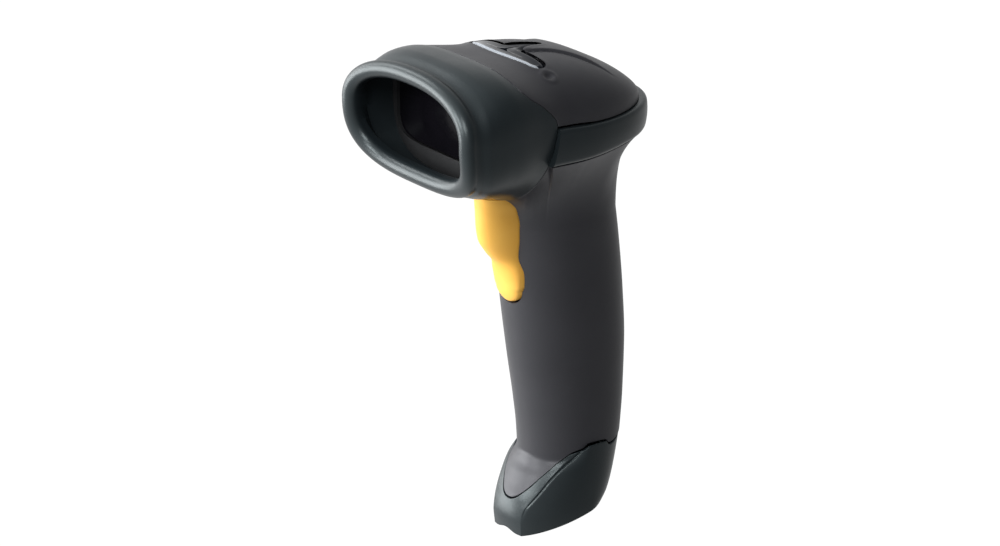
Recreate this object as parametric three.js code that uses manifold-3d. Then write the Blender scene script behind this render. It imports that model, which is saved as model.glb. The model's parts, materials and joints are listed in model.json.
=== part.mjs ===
// Handheld laser barcode scanner, pistol style: hooded head, one-piece grip, trigger, boot with cable inlet.
// Millimetres, +Z up, the reading window looks along -Y, +X is the scanner's own left side.
// The housing is drawn with Z = 0 at the toe of the boot, then the whole group is lowered by GRIP_Z so that
// the origin lies at the middle of the hand grip.
import * as THREE from "three";
import Module from "manifold-3d";

const wasm = await Module();
wasm.setup();

// ---- driving dimensions -------------------------------------------------------------------------------
const GRIP_Z = 60; // height of the middle of the grip above the toe
const GAP = 0.3; // clearance between neighbouring pieces
const WALL = 2.0; // housing wall
const LIP_Y = -57.8; // front of the bead round the hood's mouth
const LIP_Z = 137.4; // height of the mouth's centre
const LIP_W = 27.3; // crest of the bead: half width, height above and below the centre
const LIP_TOP = 13.2;
const LIP_LOW = 17.2;
const LIP_CURL = 0.0156; // how the lip curls back above and below its middle, per mm
const LIP_BOW = 0.95; // how far the lip sweeps back at its ends
const BEAD = 2.5; // radius of the bead
const REAR_Y = 22; // rear end of the top cover
const DOME_W = 26.9; // half width of the top cover at its seam
const DOME_TOP = 151.8; // crown height
const GROOVE_REAR_Z = 132.6; // height of the groove under the top cover at the rear
const BUMPER_OUT = [1.3, 2.5]; // how far the bumper stands proud of the cover, at its front ends and at the rear
const HANDLE_TOP = 99; // above this height the grip flares into the head
const TOE_Y = -21.6; // front of the boot
const SOLE_TILT = 0.25; // rise of the boot's sole per mm toward the rear
const TRIGGER_PIN = [0, -22.2, 112.2]; // axis of the trigger
const WINDOW_Y = -40.5; // exit window, recessed in the hood
const SILL = 4.2; // height of the window frame's lower bar above the hood's floor
const ENGINE_Z = 119.5; // floor of the scan engine's chassis
const JACK = { w: 12.4, d: 10.4, h: 17, y: -2.6 }; // modular jack block for the cable's plug

// ---- small maths ---------------------------------------------------------------------------------------
const PI = Math.PI;
const sgnPow = (c, e) => Math.sign(c) * Math.abs(c) ** e;
const mix = (a, b, t) => a + (b - a) * t;
const clamp = (t) => Math.min(1, Math.max(0, t));
const smooth = (a, b, x) => {
  const t = clamp((x - a) / (b - a));
  return t * t * (3 - 2 * t);
};

// Smooth curve through (xs, ys), without overshoot.
function curve(xs, ys) {
  const h = xs.slice(1).map((x, i) => x - xs[i]);
  const d = h.map((w, i) => (ys[i + 1] - ys[i]) / w);
  const m = xs.map((_, i) => {
    if (i === 0) return d[0];
    if (i === d.length) return d[i - 1];
    return d[i - 1] * d[i] <= 0 ? 0 : (2 * d[i - 1] * d[i]) / (d[i - 1] + d[i]);
  });
  return (x) => {
    const t = Math.min(xs[xs.length - 1], Math.max(xs[0], x));
    let i = 0;
    while (i < h.length - 1 && t > xs[i + 1]) i++;
    const u = (t - xs[i]) / h[i];
    return (
      (2 * u ** 3 - 3 * u ** 2 + 1) * ys[i] +
      (u ** 3 - 2 * u ** 2 + u) * h[i] * m[i] +
      (3 * u ** 2 - 2 * u ** 3) * ys[i + 1] +
      (u ** 3 - u ** 2) * h[i] * m[i + 1]
    );
  };
}
const deg = (a) => (a * PI) / 180;
const range = (n, f) => Array.from({ length: n }, (_, i) => f(i));

// ---- housing surfaces ----------------------------------------------------------------------------------
// Closed section round the head, widest at the groove line (t = 0); the lower corners pull in by `taper`.
function section(t, w, up, low, nUp, nLow, taper) {
  const c = Math.cos(t);
  const s = Math.sin(t);
  const n = s >= 0 ? nUp : nLow;
  const v = (s >= 0 ? up : low) * sgnPow(s, 2 / n);
  const x = w * sgnPow(c, 2 / n) * (1 - taper * clamp(-v / low));
  return [x, v];
}

const hoodW = curve([-57.1, -50, -40, -30, -20], [29.5, 29.9, 29.4, 27.8, 26.4]);
const hoodC = curve([-57.1, -50, -40, -30, -20], [137.1, 136.9, 136.6, 136.2, 135.4]);
const hoodT = curve([-57.1, -52, -46, -41, -36, -30, -20], [151.4, 152.5, 153.8, 153.5, 152.6, 152.2, 151.4]);
const hoodB = curve([-57.1, -50, -40, -30, -20], [118.4, 116.9, 113.8, 109.2, 105]);
const hoodNB = curve([-57.1, -50, -40, -30, -20], [3.4, 3.3, 2.9, 2.2, 2]);
const hoodNT = curve([-57.1, -50, -40, -30, -20], [2.4, 2.7, 3, 2.8, 2.4]);
const hoodTaper = curve([-57.1, -50, -40, -30, -20], [0, 0.02, 0.03, 0, 0]);
function hoodPoint(y, t) {
  const c = hoodC(y);
  const [x, v] = section(t, hoodW(y), hoodT(y) - c, c - hoodB(y), hoodNT(y), hoodNB(y), hoodTaper(y));
  return [x, y, c + v];
}
// Where the hood ends, as a function of the angle round the head: the seam with the top cover above,
// the step to the bumper at the side and the line down to the grip's throat below.
const SEAM_A = [-90, -60, -45, -30, -20, -8, 0, 15, 30, 45, 60, 90];
const SEAM_Y = [-30.2, -29.4, -28.9, -27.6, -26.3, -25.5, -24.8, -29, -34.3, -36.6, -37.3, -37.7];
const seamCurve = curve(SEAM_A, SEAM_Y);
const seamY = (t) => {
  const a = (Math.asin(Math.sin(t)) * 180) / PI;
  return seamCurve(a);
};

const domeW = (y) => DOME_W * Math.sqrt(Math.max(0, 1 - Math.max(0, (y + 30) / (REAR_Y + 30)) ** 2.6));
const domeC = curve([-38, -24, -12, 0, 10, REAR_Y], [136.4, 135.6, 134.2, 133.2, 132.8, GROOVE_REAR_Z]);
const domeT = (y) => {
  const u = clamp((y + 26) / (REAR_Y + 26));
  return GROOVE_REAR_Z + (DOME_TOP - GROOVE_REAR_Z) * Math.max(0, 1 - u ** 2.2) ** 0.85;
};
// Top cover: flush with the hood along the seam, then a dome that closes at the rear.
function domePoint(y, t) {
  const c = domeC(y);
  const [x, v] = section(t, domeW(y), Math.max(0.1, domeT(y) - c), 1, 2.35, 2, 0);
  const k = 1 - smooth(0, 17, y - seamY(t));
  const h = hoodPoint(Math.min(y, -20), t);
  return [mix(x, h[0], k), y, mix(c + v, h[2], k)];
}

// Grip rings. u = -90 degrees is the front.
const gripF = curve([0, 22, 30, 39, 56, 72, 90, 99], [-13.8, -14, -14.4, -15.5, -18.2, -20.4, -22.4, -23.8]);
const gripR = curve([0, 22, 39, 56, 72, 90, 99], [17.2, 18.0, 19.2, 19.6, 18.6, 16.6, 15.2]);
const gripW = curve([0, 22, 39, 56, 72, 90, 99], [13, 13.2, 13.8, 14.4, 14.8, 15, 15.3]);
const GRIP_N = 2.15;
function gripPoint(z, a) {
  const mid = (gripF(z) + gripR(z)) / 2;
  const half = (gripR(z) - gripF(z)) / 2;
  const x = gripW(z) * sgnPow(Math.cos(a), 2 / GRIP_N);
  return [x, mid + half * sgnPow(Math.sin(a), 2 / GRIP_N), z];
}

// Boot outline at height z: a bowed front facet between two creases, then round sides and rear.
const CREASE_Z = [0, 5, 8.8, 11.8, 15.3, 17.8, 20.1, 22.1, 24.3, 26.5];
const bootXc = curve(CREASE_Z, [6.2, 6.5, 7.1, 8.4, 9.8, 10.6, 11.3, 11.8, 12.8, 13.8]);
const bootYc = curve(CREASE_Z, [-21, -21.4, -20.5, -18.6, -15.9, -13.9, -11.6, -8.8, -5.3, -3]);
const bootYf = curve([0, 5, 11, 15, 18, 22, 30], [TOE_Y, -22.2, -20.9, -18.8, -17.2, -15, -15.1]);
const bootXm = curve([0, 4, 9, 16, 24, 32], [13.2, 14, 14.4, 14.6, 14.5, 14.2]);
const bootYr = curve([4, 7, 10, 16, 24, 34], [3.8, 9.4, 12.4, 14.9, 17.1, 19.2]);
const BOOT_Y0 = -1;
const FACET = 0.3; // share of the half outline taken by the front facet
function bootPoint(z, u) {
  const s = Math.sign(u) || 1;
  const a = Math.abs(u);
  const xc = bootXc(z);
  const yc = bootYc(z);
  if (a <= FACET) {
    const t = a / FACET;
    return [s * xc * t, mix(bootYf(z), yc, t ** 2.2), z];
  }
  const xm = bootXm(z);
  const half = Math.abs(yc - BOOT_Y0) / Math.sqrt(1 - (xc / xm) ** 2);
  const start = -Math.acos(xc / xm);
  const e = mix(start, PI / 2, (a - FACET) / (1 - FACET));
  const n = e > 0 ? 2.2 : 2;
  const yy = e > 0 ? bootYr(z) - BOOT_Y0 : half;
  return [s * xm * Math.abs(Math.cos(e)) ** (2 / n), BOOT_Y0 + yy * sgnPow(Math.sin(e), 2 / n), z];
}
// Angle round the grip that goes with boot column u.
const gripAngle = (u, z) => {
  const s = Math.sign(u) || 1;
  const a = Math.abs(u);
  const even = a <= FACET ? mix(-90, -42, a / FACET) : mix(-42, 90, (a - FACET) / (1 - FACET));
  const b = bootPoint(Math.min(z, 27), a);
  const mid = (gripF(z) + gripR(z)) / 2;
  const half = (gripR(z) - gripF(z)) / 2;
  const e = GRIP_N / 2;
  const low = a === 0 ? -90 : (Math.atan2(sgnPow((b[1] - mid) / half, e), (b[0] / gripW(z)) ** e) * 180) / PI;
  const side = a === 1 ? 90 : mix(low, even, smooth(29, 60, z));
  return s > 0 ? deg(side) : deg(180 - side);
};
// Height of the sole and of the seam between boot and grip, per column.
function soleZ(u) {
  let z = 2;
  for (let i = 0; i < 12; i++) z = mix(z, SOLE_TILT * (bootPoint(z, u)[1] - TOE_Y), 0.6);
  return Math.max(0, z);
}
const SEAM_U = [0, 0.05, 0.107, 0.184, 0.239, 0.27, 0.33, 0.42, 0.52, 0.62, 0.72, 0.85, 1];
const bootTop = curve(SEAM_U, [11, 11.2, 12.1, 15.4, 20.6, 25.2, 26.5, 27.3, 26.9, 25, 25.6, 28.6, 30]);
const seamZ = (u) => bootTop(Math.abs(u));

// The grip's outside: rings below HANDLE_TOP, and the tongue that fills the boot's front groove.
function gripSkin(z, u) {
  const g = gripPoint(z, gripAngle(u, z));
  const b = bootPoint(Math.min(z, 26), u);
  const k = (1 - smooth(21.3, 24, z)) * (1 - smooth(FACET, FACET + 0.02, Math.abs(u)));
  return [mix(g[0], b[0], k), mix(g[1], b[1], k), z];
}
// Plan line under the top cover, w = 0 at the left seam, 1 at the right seam.
const SWEEP_FRONT = -24.5;
function sweep(w) {
  const s = w <= 0.5 ? 1 : -1;
  const k = w <= 0.5 ? w * 2 : 2 - w * 2;
  const e = (k * PI) / 2;
  const y = SWEEP_FRONT + (REAR_Y - SWEEP_FRONT) * Math.sin(e);
  const x = s * domeW(Math.min(y, REAR_Y));
  return [k === 1 ? 0 : x, y, domeC(y)];
}
function sweepNormal(w) {
  const a = sweep(Math.max(0, w - 0.01));
  const b = sweep(Math.min(1, w + 0.01));
  const l = Math.hypot(b[0] - a[0], b[1] - a[1]);
  return [(b[1] - a[1]) / l, -(b[0] - a[0]) / l];
}
const bumperH = (w) => {
  const k = w <= 0.5 ? w * 2 : 2 - w * 2;
  return mix(11.2, 9.4, smooth(0, 0.45, k));
};
const bumperOut = (w) => mix(...BUMPER_OUT, smooth(0.25, 0.8, w <= 0.5 ? w * 2 : 2 - w * 2));
// A point `out` from the groove line and `drop` below it; the front ends lean with the hood's seam.
function bumperPoint(w, out, drop) {
  const p = sweep(w);
  const n = sweepNormal(w);
  const k = w <= 0.5 ? w * 2 : 2 - w * 2;
  const lean = (1 - smooth(0, 0.2, k)) * drop * 0.14;
  return [p[0] + n[0] * out, p[1] + n[1] * out - lean, p[2] - drop];
}
// Rim of the grip's flare: the throat line under the hood at the front, the bumper's lower edge behind.
function flareRim(a) {
  let d = (a * 180) / PI;
  d = ((d + 90) % 360 + 360) % 360;
  const s = d <= 180 ? 1 : -1;
  const f = d <= 180 ? d : 360 - d; // 0 front, 180 rear
  const SPLIT = 52;
  if (f <= SPLIT) {
    const t = mix(-90, -22, (f / SPLIT) ** 0.9);
    const p = hoodPoint(seamCurve(t) + GAP, deg(t));
    return [s * Math.abs(p[0]) * 0.985, p[1] + GAP, p[2]];
  }
  const w = (0.5 * (f - SPLIT)) / (180 - SPLIT);
  const p = bumperPoint(w, bumperOut(w) - 1.7, bumperH(w) + GAP);
  return [s * Math.abs(p[0]), p[1], p[2]];
}
function flarePoint(a, v) {
  const p0 = gripPoint(HANDLE_TOP, a);
  const p3 = flareRim(a);
  const near = [-12, -8, -4, 0, 4, 8, 12].map((d) => flareRim(a + deg(d)));
  const soft = [0, 1, 2].map((i) => near.reduce((sum, p) => sum + p[i] / near.length, 0));
  const rise = p3[2] - p0[2];
  const rear = smooth(12, 50, (Math.asin(Math.sin(a)) * 180) / PI);
  const lean = mix(0.62, 0.3, rear);
  const p1 = [p0[0], p0[1], p0[2] + rise * mix(0.42, 0.6, rear)];
  const p2 = [mix(p0[0], soft[0], lean), mix(p0[1], soft[1], lean), soft[2] - rise * mix(0.24, 0.14, rear)];
  const w = 1 - v;
  return [0, 1, 2].map((i) => w ** 3 * p0[i] + 3 * w * w * v * p1[i] + 3 * w * v * v * p2[i] + v ** 3 * p3[i]);
}

// ---- building solids -----------------------------------------------------------------------------------
function fromTriangles(points, faces) {
  const g = new THREE.BufferGeometry();
  g.setAttribute("position", new THREE.Float32BufferAttribute(points.flat(), 3));
  let vol = 0;
  for (const [a, b, c] of faces) {
    const [p, q, r] = [points[a], points[b], points[c]];
    vol += p[0] * (q[1] * r[2] - q[2] * r[1]) - p[1] * (q[0] * r[2] - q[2] * r[0]) + p[2] * (q[0] * r[1] - q[1] * r[0]);
  }
  g.setIndex(faces.map((f) => (vol < 0 ? [f[0], f[2], f[1]] : f)).flat());
  return g;
}
// A grid of points moved along its own normals, used to lay the inner face of a wall.
function gridInset(rows, thick, wrap) {
  const n = rows[0].length;
  return rows.map((row, i) =>
    row.map((p, j) => {
      const a = rows[Math.max(0, i - 1)][j];
      const b = rows[Math.min(rows.length - 1, i + 1)][j];
      const c = wrap ? row[(j + n - 1) % n] : row[Math.max(0, j - 1)];
      const d = wrap ? row[(j + 1) % n] : row[Math.min(n - 1, j + 1)];
      const u = new THREE.Vector3(b[0] - a[0], b[1] - a[1], b[2] - a[2]);
      const v = new THREE.Vector3(d[0] - c[0], d[1] - c[1], d[2] - c[2]);
      const m = u.cross(v).normalize();
      return [p[0] - m.x * thick, p[1] - m.y * thick, p[2] - m.z * thick];
    }),
  );
}
// Inner face of a wall of the given thickness, laid on the side that faces the probe point.
function insetToward(rows, thick, wrap, probe) {
  const a = gridInset(rows, thick, wrap);
  const i = rows.length >> 1;
  const j = rows[0].length >> 1;
  const d = (r) => Math.hypot(...r[i][j].map((v, k) => v - probe[k]));
  return d(a) < d(rows) ? a : gridInset(rows, -thick, wrap);
}
// Squares off a rim: the inner edge keeps its place in plan but ends level with the outer edge.
function squareRim(inner, outer, row, axis) {
  inner[row] = inner[row].map((p, j) => p.map((v, k) => (k === axis ? outer[row][j][k] : v)));
}
// Tube-like shell: closed rows outside, the same rows inside.
function ringShell(outer, inner) {
  const rows = [...outer, ...inner.slice().reverse()];
  const n = rows[0].length;
  const pts = rows.flat();
  const faces = [];
  rows.forEach((_, i) => {
    const k = (i + 1) % rows.length;
    for (let j = 0; j < n; j++) {
      const j2 = (j + 1) % n;
      faces.push([i * n + j, k * n + j, k * n + j2], [i * n + j, k * n + j2, i * n + j2]);
    }
  });
  return fromTriangles(pts, faces);
}
// Sheet-like shell: open rows outside, the same rows inside, rims all round.
function sheetShell(outer, inner) {
  const rows = outer.map((r, i) => [...r, ...inner[i].slice().reverse()]);
  const n = rows[0].length;
  const faces = [];
  for (let i = 0; i < rows.length - 1; i++)
    for (let j = 0; j < n; j++) {
      const j2 = (j + 1) % n;
      faces.push([i * n + j, (i + 1) * n + j, (i + 1) * n + j2], [i * n + j, (i + 1) * n + j2, i * n + j2]);
    }
  const last = (rows.length - 1) * n;
  for (let j = 0; j < n / 2 - 1; j++) {
    const q = n - 1 - j;
    faces.push([j, j + 1, q - 1], [j, q - 1, q]);
    faces.push([last + j, last + q - 1, last + j + 1], [last + j, last + q, last + q - 1]);
  }
  return fromTriangles(rows.flat(), faces);
}
// Solid with closed rows and flat ends.
function loft(rows) {
  const n = rows[0].length;
  const pts = rows.flat();
  const faces = [];
  for (let i = 0; i < rows.length - 1; i++)
    for (let j = 0; j < n; j++) {
      const j2 = (j + 1) % n;
      faces.push([i * n + j, (i + 1) * n + j, (i + 1) * n + j2], [i * n + j, (i + 1) * n + j2, i * n + j2]);
    }
  const ends = [0, rows.length - 1];
  for (const e of ends) {
    const mid = rows[e].reduce((s, p) => s.map((v, k) => v + p[k] / n), [0, 0, 0]);
    pts.push(mid);
    const c = pts.length - 1;
    for (let j = 0; j < n; j++) {
      const a = e * n + j;
      const b = e * n + ((j + 1) % n);
      faces.push(e === 0 ? [a, b, c] : [b, a, c]);
    }
  }
  return fromTriangles(pts, faces);
}
function toManifold(geometry) {
  const g = geometry.index ? geometry.toNonIndexed() : geometry;
  const pos = g.attributes.position.array;
  const seen = new Map();
  const verts = [];
  const tri = [];
  for (let i = 0; i < pos.length; i += 3) {
    const key = [0, 1, 2].map((k) => Math.round(pos[i + k] * 2000)).join(",");
    if (!seen.has(key)) {
      seen.set(key, verts.length / 3);
      verts.push(pos[i], pos[i + 1], pos[i + 2]);
    }
    tri.push(seen.get(key));
  }
  const keep = [];
  for (let i = 0; i < tri.length; i += 3)
    if (tri[i] !== tri[i + 1] && tri[i + 1] !== tri[i + 2] && tri[i] !== tri[i + 2])
      keep.push(tri[i], tri[i + 1], tri[i + 2]);
  const mesh = new wasm.Mesh({
    numProp: 3,
    vertProperties: new Float32Array(verts),
    triVerts: new Uint32Array(keep),
  });
  return new wasm.Manifold(mesh);
}
// Edges shorter than 0.01 mm are collapsed, so that no sliver is left behind by a cut.
function fromManifold(solid) {
  const m = solid.simplify(0.01).getMesh();
  const v = [];
  for (let i = 0; i < m.numVert; i++)
    v.push(m.vertProperties[i * m.numProp], m.vertProperties[i * m.numProp + 1], m.vertProperties[i * m.numProp + 2]);
  const g = new THREE.BufferGeometry();
  g.setAttribute("position", new THREE.Float32BufferAttribute(v, 3));
  g.setIndex(Array.from(m.triVerts));
  return g;
}
function cut(body, ...tools) {
  let s = toManifold(body);
  for (const t of tools) s = s.subtract(toManifold(t));
  return fromManifold(s);
}
function join(...bodies) {
  let s = toManifold(bodies[0]);
  for (const b of bodies.slice(1)) s = s.add(toManifold(b));
  return fromManifold(s);
}
const box = (w, d, h, x, y, z) => new THREE.BoxGeometry(w, d, h).translate(x, y, z);
// Cylinder of radius r and length l along an axis, centred at (x, y, z).
function rod(r, l, axis, x, y, z, n = 20) {
  const g = new THREE.CylinderGeometry(r, r, l, n);
  if (axis === "x") g.rotateZ(PI / 2);
  if (axis === "z") g.rotateX(PI / 2);
  return g.translate(x, y, z);
}
function revolve(profile, axis, x, y, z, n = 24) {
  const g = new THREE.LatheGeometry(profile.map(([r, h]) => new THREE.Vector2(r, h)), n);
  if (axis === "x") g.rotateZ(-PI / 2);
  if (axis === "z") g.rotateX(PI / 2);
  return g.translate(x, y, z);
}

const scanner = new THREE.Group();
scanner.name = "barcode_scanner";
const frame = new THREE.Group();
frame.position.set(0, 0, -GRIP_Z);
scanner.add(frame);
const COLOURS = {
  hood: 0x3a4143,
  grip: 0x3e3c42,
  trigger: 0xe8b95a,
  lens: 0x20252b,
  glass: 0x15181c,
  rubber: 0x1c1e20,
  steel: 0xb8bcc0,
  board: 0x1f5a3a,
  chip: 0x1a1a1c,
  brass: 0xc59a4a,
  engine: 0x8c9094,
};
function add(name, geometry, colour, metal = 0) {
  const material = new THREE.MeshStandardMaterial({ color: COLOURS[colour], roughness: 0.55, metalness: metal });
  const mesh = new THREE.Mesh(geometry, material);
  mesh.name = name;
  frame.add(mesh);
  return mesh;
}

// ---- nose hood: bead round the mouth, faint crease behind it, body back to the seam --------------------
const HOOD_COLS = 36;
const headAngle = (j) => (j / HOOD_COLS) * 2 * PI;
// Depth of the bead along Y: the mouth bulges forward in the middle and curls back above and below.
const lipY = (t) => {
  const [x, v] = section(t, LIP_W, LIP_TOP, LIP_LOW, 2.25, 3.25, 0);
  return LIP_Y + LIP_CURL * v * v + LIP_BOW * (x / LIP_W) ** 2;
};
// Ring round the mouth at `out` from the bead's crest line and `back` mm behind it.
function lipRing(out, back) {
  return range(HOOD_COLS, (j) => {
    const t = headAngle(j);
    const [x, v] = section(t, LIP_W + out, LIP_TOP + out, LIP_LOW + out, 2.25, 3.25, 0);
    return [x, lipY(t) + back, LIP_Z + v];
  });
}
const hoodRing = (f) =>
  range(HOOD_COLS, (j) => {
    const t = headAngle(j);
    const y = mix(lipY(t) + 3.9, seamY(t), f);
    return hoodPoint(y, t);
  });
const hoodBody = [0, 0.22, 0.48, 0.74, 1].map((f) => hoodRing(f));
const hoodInner = insetToward(hoodBody, WALL, true, [0, -45, 136]);
const beadRings = range(5, (i) => {
  const a = deg(mix(-170, 8, i / 4));
  return lipRing(-0.2 + BEAD * Math.cos(a), BEAD * Math.sin(a));
});
squareRim(hoodInner, hoodBody, hoodBody.length - 1, 1);
const hoodOuterRows = [
  lipRing(-3.1, 3.6),
  ...beadRings,
  lipRing(1.9, 2.4),
  ...hoodBody,
];
const mouthStep = lipRing(-3.1, 4.8).map(([x, y, z]) => [x * 0.995, y, z]);
add("nose_hood", ringShell(hoodOuterRows, [mouthStep, ...hoodInner]), "hood");

// ---- top cover with the light pipe's seat ----------------------------------------------------------------
const COVER_COLS = 18;
const coverRow = (f) =>
  range(COVER_COLS + 1, (j) => {
    const t = mix(deg(0.6), PI - deg(0.6), j / COVER_COLS);
    const y = mix(seamY(t) + GAP, REAR_Y - 0.15, Math.sin((f * PI) / 2));
    return domePoint(y, t);
  });
const coverRows = range(10, (i) => coverRow(i / 9));
const coverInner = insetToward(coverRows, WALL, false, [0, -10, 130]);
squareRim(coverInner, coverRows, 0, 1);
for (const row of coverInner) for (const p of row) p[2] = Math.max(p[2], domeC(p[1]) + 0.2);
// Light pipe seen from above: a crescent that follows the seam, with round ends and a pointed tail in the middle.
const LENS = { front: -26.6, sweep: 2.5, back: -18.9, notch: 1.2, tail: 9.4, tip: 12.4 };
const lensFront = (x) => LENS.front + LENS.sweep * (x / LENS.tip) ** 2;
const lensBack = (x) => {
  const notch = LENS.notch * Math.exp(-((x / 4.6) ** 2));
  const tail = (LENS.tail + LENS.notch) * Math.exp(-((x / 1.9) ** 2));
  return LENS.back - notch + tail;
};
function lensOutline(g) {
  const end = (lensFront(LENS.tip) + lensBack(LENS.tip)) / 2;
  const r = (lensBack(LENS.tip) - lensFront(LENS.tip)) / 2 + g;
  const front = range(9, (i) => mix(-LENS.tip, LENS.tip, i / 8)).map((x) => [x, lensFront(x) - g]);
  const right = range(5, (i) => deg(-60 + 30 * i)).map((a) => [LENS.tip + r * Math.cos(a), end + r * Math.sin(a)]);
  const back = range(23, (i) => -LENS.tip * sgnPow((i - 11) / 11, 1.5)).map((x) => [x, lensBack(x) + g]);
  const left = right.map(([x, y]) => [-x, y]).reverse();
  return new THREE.Shape([...front, ...right, ...back, ...left].map(([x, y]) => new THREE.Vector2(x, y)));
}
const prism = (shape, h, z) =>
  new THREE.ExtrudeGeometry(shape, { depth: h, bevelEnabled: false, curveSegments: 6 }).translate(0, 0, z);
add("top_cover", cut(sheetShell(coverRows, coverInner), prism(lensOutline(0.4), 20, 140)), "grip");
// The light pipe follows the cover's crown, a little below it.
const LENS_SINK = 1.0;
const crownRows = range(9, (i) => {
  const y = mix(-31, -6.5, i / 8);
  return range(15, (j) => {
    const p = domePoint(y, deg(mix(30, 150, j / 14)));
    return [p[0], y, p[2] - LENS_SINK];
  });
});
const lowered = (d) => crownRows.map((r) => r.map((p) => [p[0] * (1 - 0.018 * d), p[1], p[2] - d]));
const slab = (a, b, grow) => {
  const layer = toManifold(sheetShell(lowered(a), lowered(b)));
  return fromManifold(layer.intersect(toManifold(prism(lensOutline(grow), 20, 140))));
};
const pipeLegs = [-1, 1].map((s) => box(3, 2.4, 3, s * 7, -22, 147.6));
add("led_lens", join(slab(0, 2.4, 0), slab(1.75, 2.7, 1.4), ...pipeLegs), "lens");

// ---- rear bumper -----------------------------------------------------------------------------------------
const BUMPER_COLS = 28;
const bumperSection = (w) => {
  const h = bumperH(w);
  return [
    [-2.5, 0.4],
    [0.5, 0.4],
    [bumperOut(w), 1.6],
    [bumperOut(w) + 0.2, h * 0.5],
    [bumperOut(w) - 0.3, h - 1.2],
    [-0.2, h - 0.1],
    [-1.9, h - 0.3],
    [-2.5, 1.8],
  ].map(([o, d]) => bumperPoint(w, o, d));
};
add("rear_bumper", loft(range(BUMPER_COLS + 1, (i) => bumperSection(mix(0.004, 0.996, i / BUMPER_COLS)))), "hood");

// ---- grip ------------------------------------------------------------------------------------------------
const GRIP_COLS = 32;
const gripU = (j) => -1 + (2 * j) / GRIP_COLS;
const lowRows = [0, 0.35, 0.7].map((f) =>
  range(GRIP_COLS, (j) => {
    const u = gripU(j);
    const z = mix(seamZ(u) + GAP, 31, f);
    return gripSkin(z, u);
  }),
);
const tubeRows = [31, 45, 60, 75, 88, HANDLE_TOP].map((z) => range(GRIP_COLS, (j) => gripPoint(z, gripAngle(gripU(j), z))));
const flareRows = [0.2, 0.4, 0.6, 0.8, 1].map((v) => range(GRIP_COLS, (j) => flarePoint(gripAngle(gripU(j), HANDLE_TOP), v)));
const gripRows = [...lowRows, ...tubeRows, ...flareRows];
const gripInner = insetToward(gripRows, WALL, true, [0, 0, 75]);
squareRim(gripInner, gripRows, gripRows.length - 1, 2);
squareRim(gripInner, gripRows, 0, 2);
// Opening for the trigger: half widths down the front.
const trigHalf = curve(
  [72, 76, 78, 80, 84, 89, 95, 100, 103.5, 107, 112],
  [0.5, 2.9, 4.6, 5.6, 5.9, 4.7, 5.7, 6.3, 6.6, 7.2, 6.4],
);
function slotShape(grow, z0, z1) {
  const pts = [];
  for (let i = 0; i <= 20; i++) {
    const z = mix(z0 - grow, z1 + grow, i / 20);
    pts.push(new THREE.Vector2(trigHalf(mix(z0, z1, i / 20)) + grow, z));
  }
  const mirror = pts.map((p) => new THREE.Vector2(-p.x, p.y)).reverse();
  return new THREE.Shape([...pts, ...mirror]);
}
// Extrudes an outline drawn in the XZ plane from y0 to y1.
const frontPrism = (shape, y0, y1) =>
  new THREE.ExtrudeGeometry(shape, { depth: y1 - y0, bevelEnabled: false }).rotateX(PI / 2).translate(0, y1, 0);
const gripOpen = cut(ringShell(gripRows, gripInner), frontPrism(slotShape(0.5, 74, 118), -45, -12));
const gripFull = toManifold(loft(gripRows));
const within = (g) => fromManifold(toManifold(g).intersect(gripFull));
const BOSS_X = 12.2;
const BOSS_Y = [-16.5, 4];
const bosses = [-1, 1].flatMap((s) => BOSS_Y.map((y) => within(rod(2.5, 13, "z", s * BOSS_X, y, 110, 14))));
const ears = [-1, 1].map((s) => within(box(14, 6.4, 6.4, s * 13.4, TRIGGER_PIN[1], TRIGGER_PIN[2])));
const earHoles = rod(1.3, 30, "x", ...TRIGGER_PIN, 16);
const bossHoles = [-1, 1].flatMap((s) => BOSS_Y.map((y) => rod(1.2, 9, "z", s * BOSS_X, y, 113.5, 12)));
add("handle_shell", cut(join(gripOpen, ...bosses, ...ears), earHoles, ...bossHoles), "grip");

// ---- trigger ---------------------------------------------------------------------------------------------
const trigFront = curve(
  [74, 78, 81, 87, 91, 95.5, 100, 108, 113],
  [-22.2, -23.0, -23.5, -25.4, -28.6, -31.2, -31.8, -32.0, -32.1],
);
const trigBack = curve([74, 90, 108, 113], [-19.6, -20.2, -19.6, -19.4]);
const trigRows = [74.3, 75.2, 77, 80, 84, 88, 92, 96, 100, 104, 108.8].map((z) => {
  const h = trigHalf(z);
  const yf = trigFront(z);
  const yb = trigBack(z);
  return range(16, (j) => {
    const a = (j / 16) * 2 * PI + PI / 16;
    const s = Math.sin(a);
    const x = h * sgnPow(Math.cos(a), s < 0 ? 0.8 : 0.35);
    return [x, s < 0 ? mix(yb - 2.5, yf, -s) : mix(yb - 2.5, yb, sgnPow(s, 0.35)), z];
  });
});
const hub = rod(2.6, 11, "x", ...TRIGGER_PIN, 18);
const web = box(9, 5, 8, 0, -24, 108.6);
const spur = box(3, 5.4, 2.4, 0, -18, 90.2);
const triggerSolid = cut(
  join(loft(trigRows), web, hub, spur),
  rod(1.3, 20, "x", ...TRIGGER_PIN, 16),
);
add("trigger", triggerSolid, "trigger");
add("trigger_pin", rod(1.2, 17, "x", ...TRIGGER_PIN, 16), "steel", 0.9);

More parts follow.
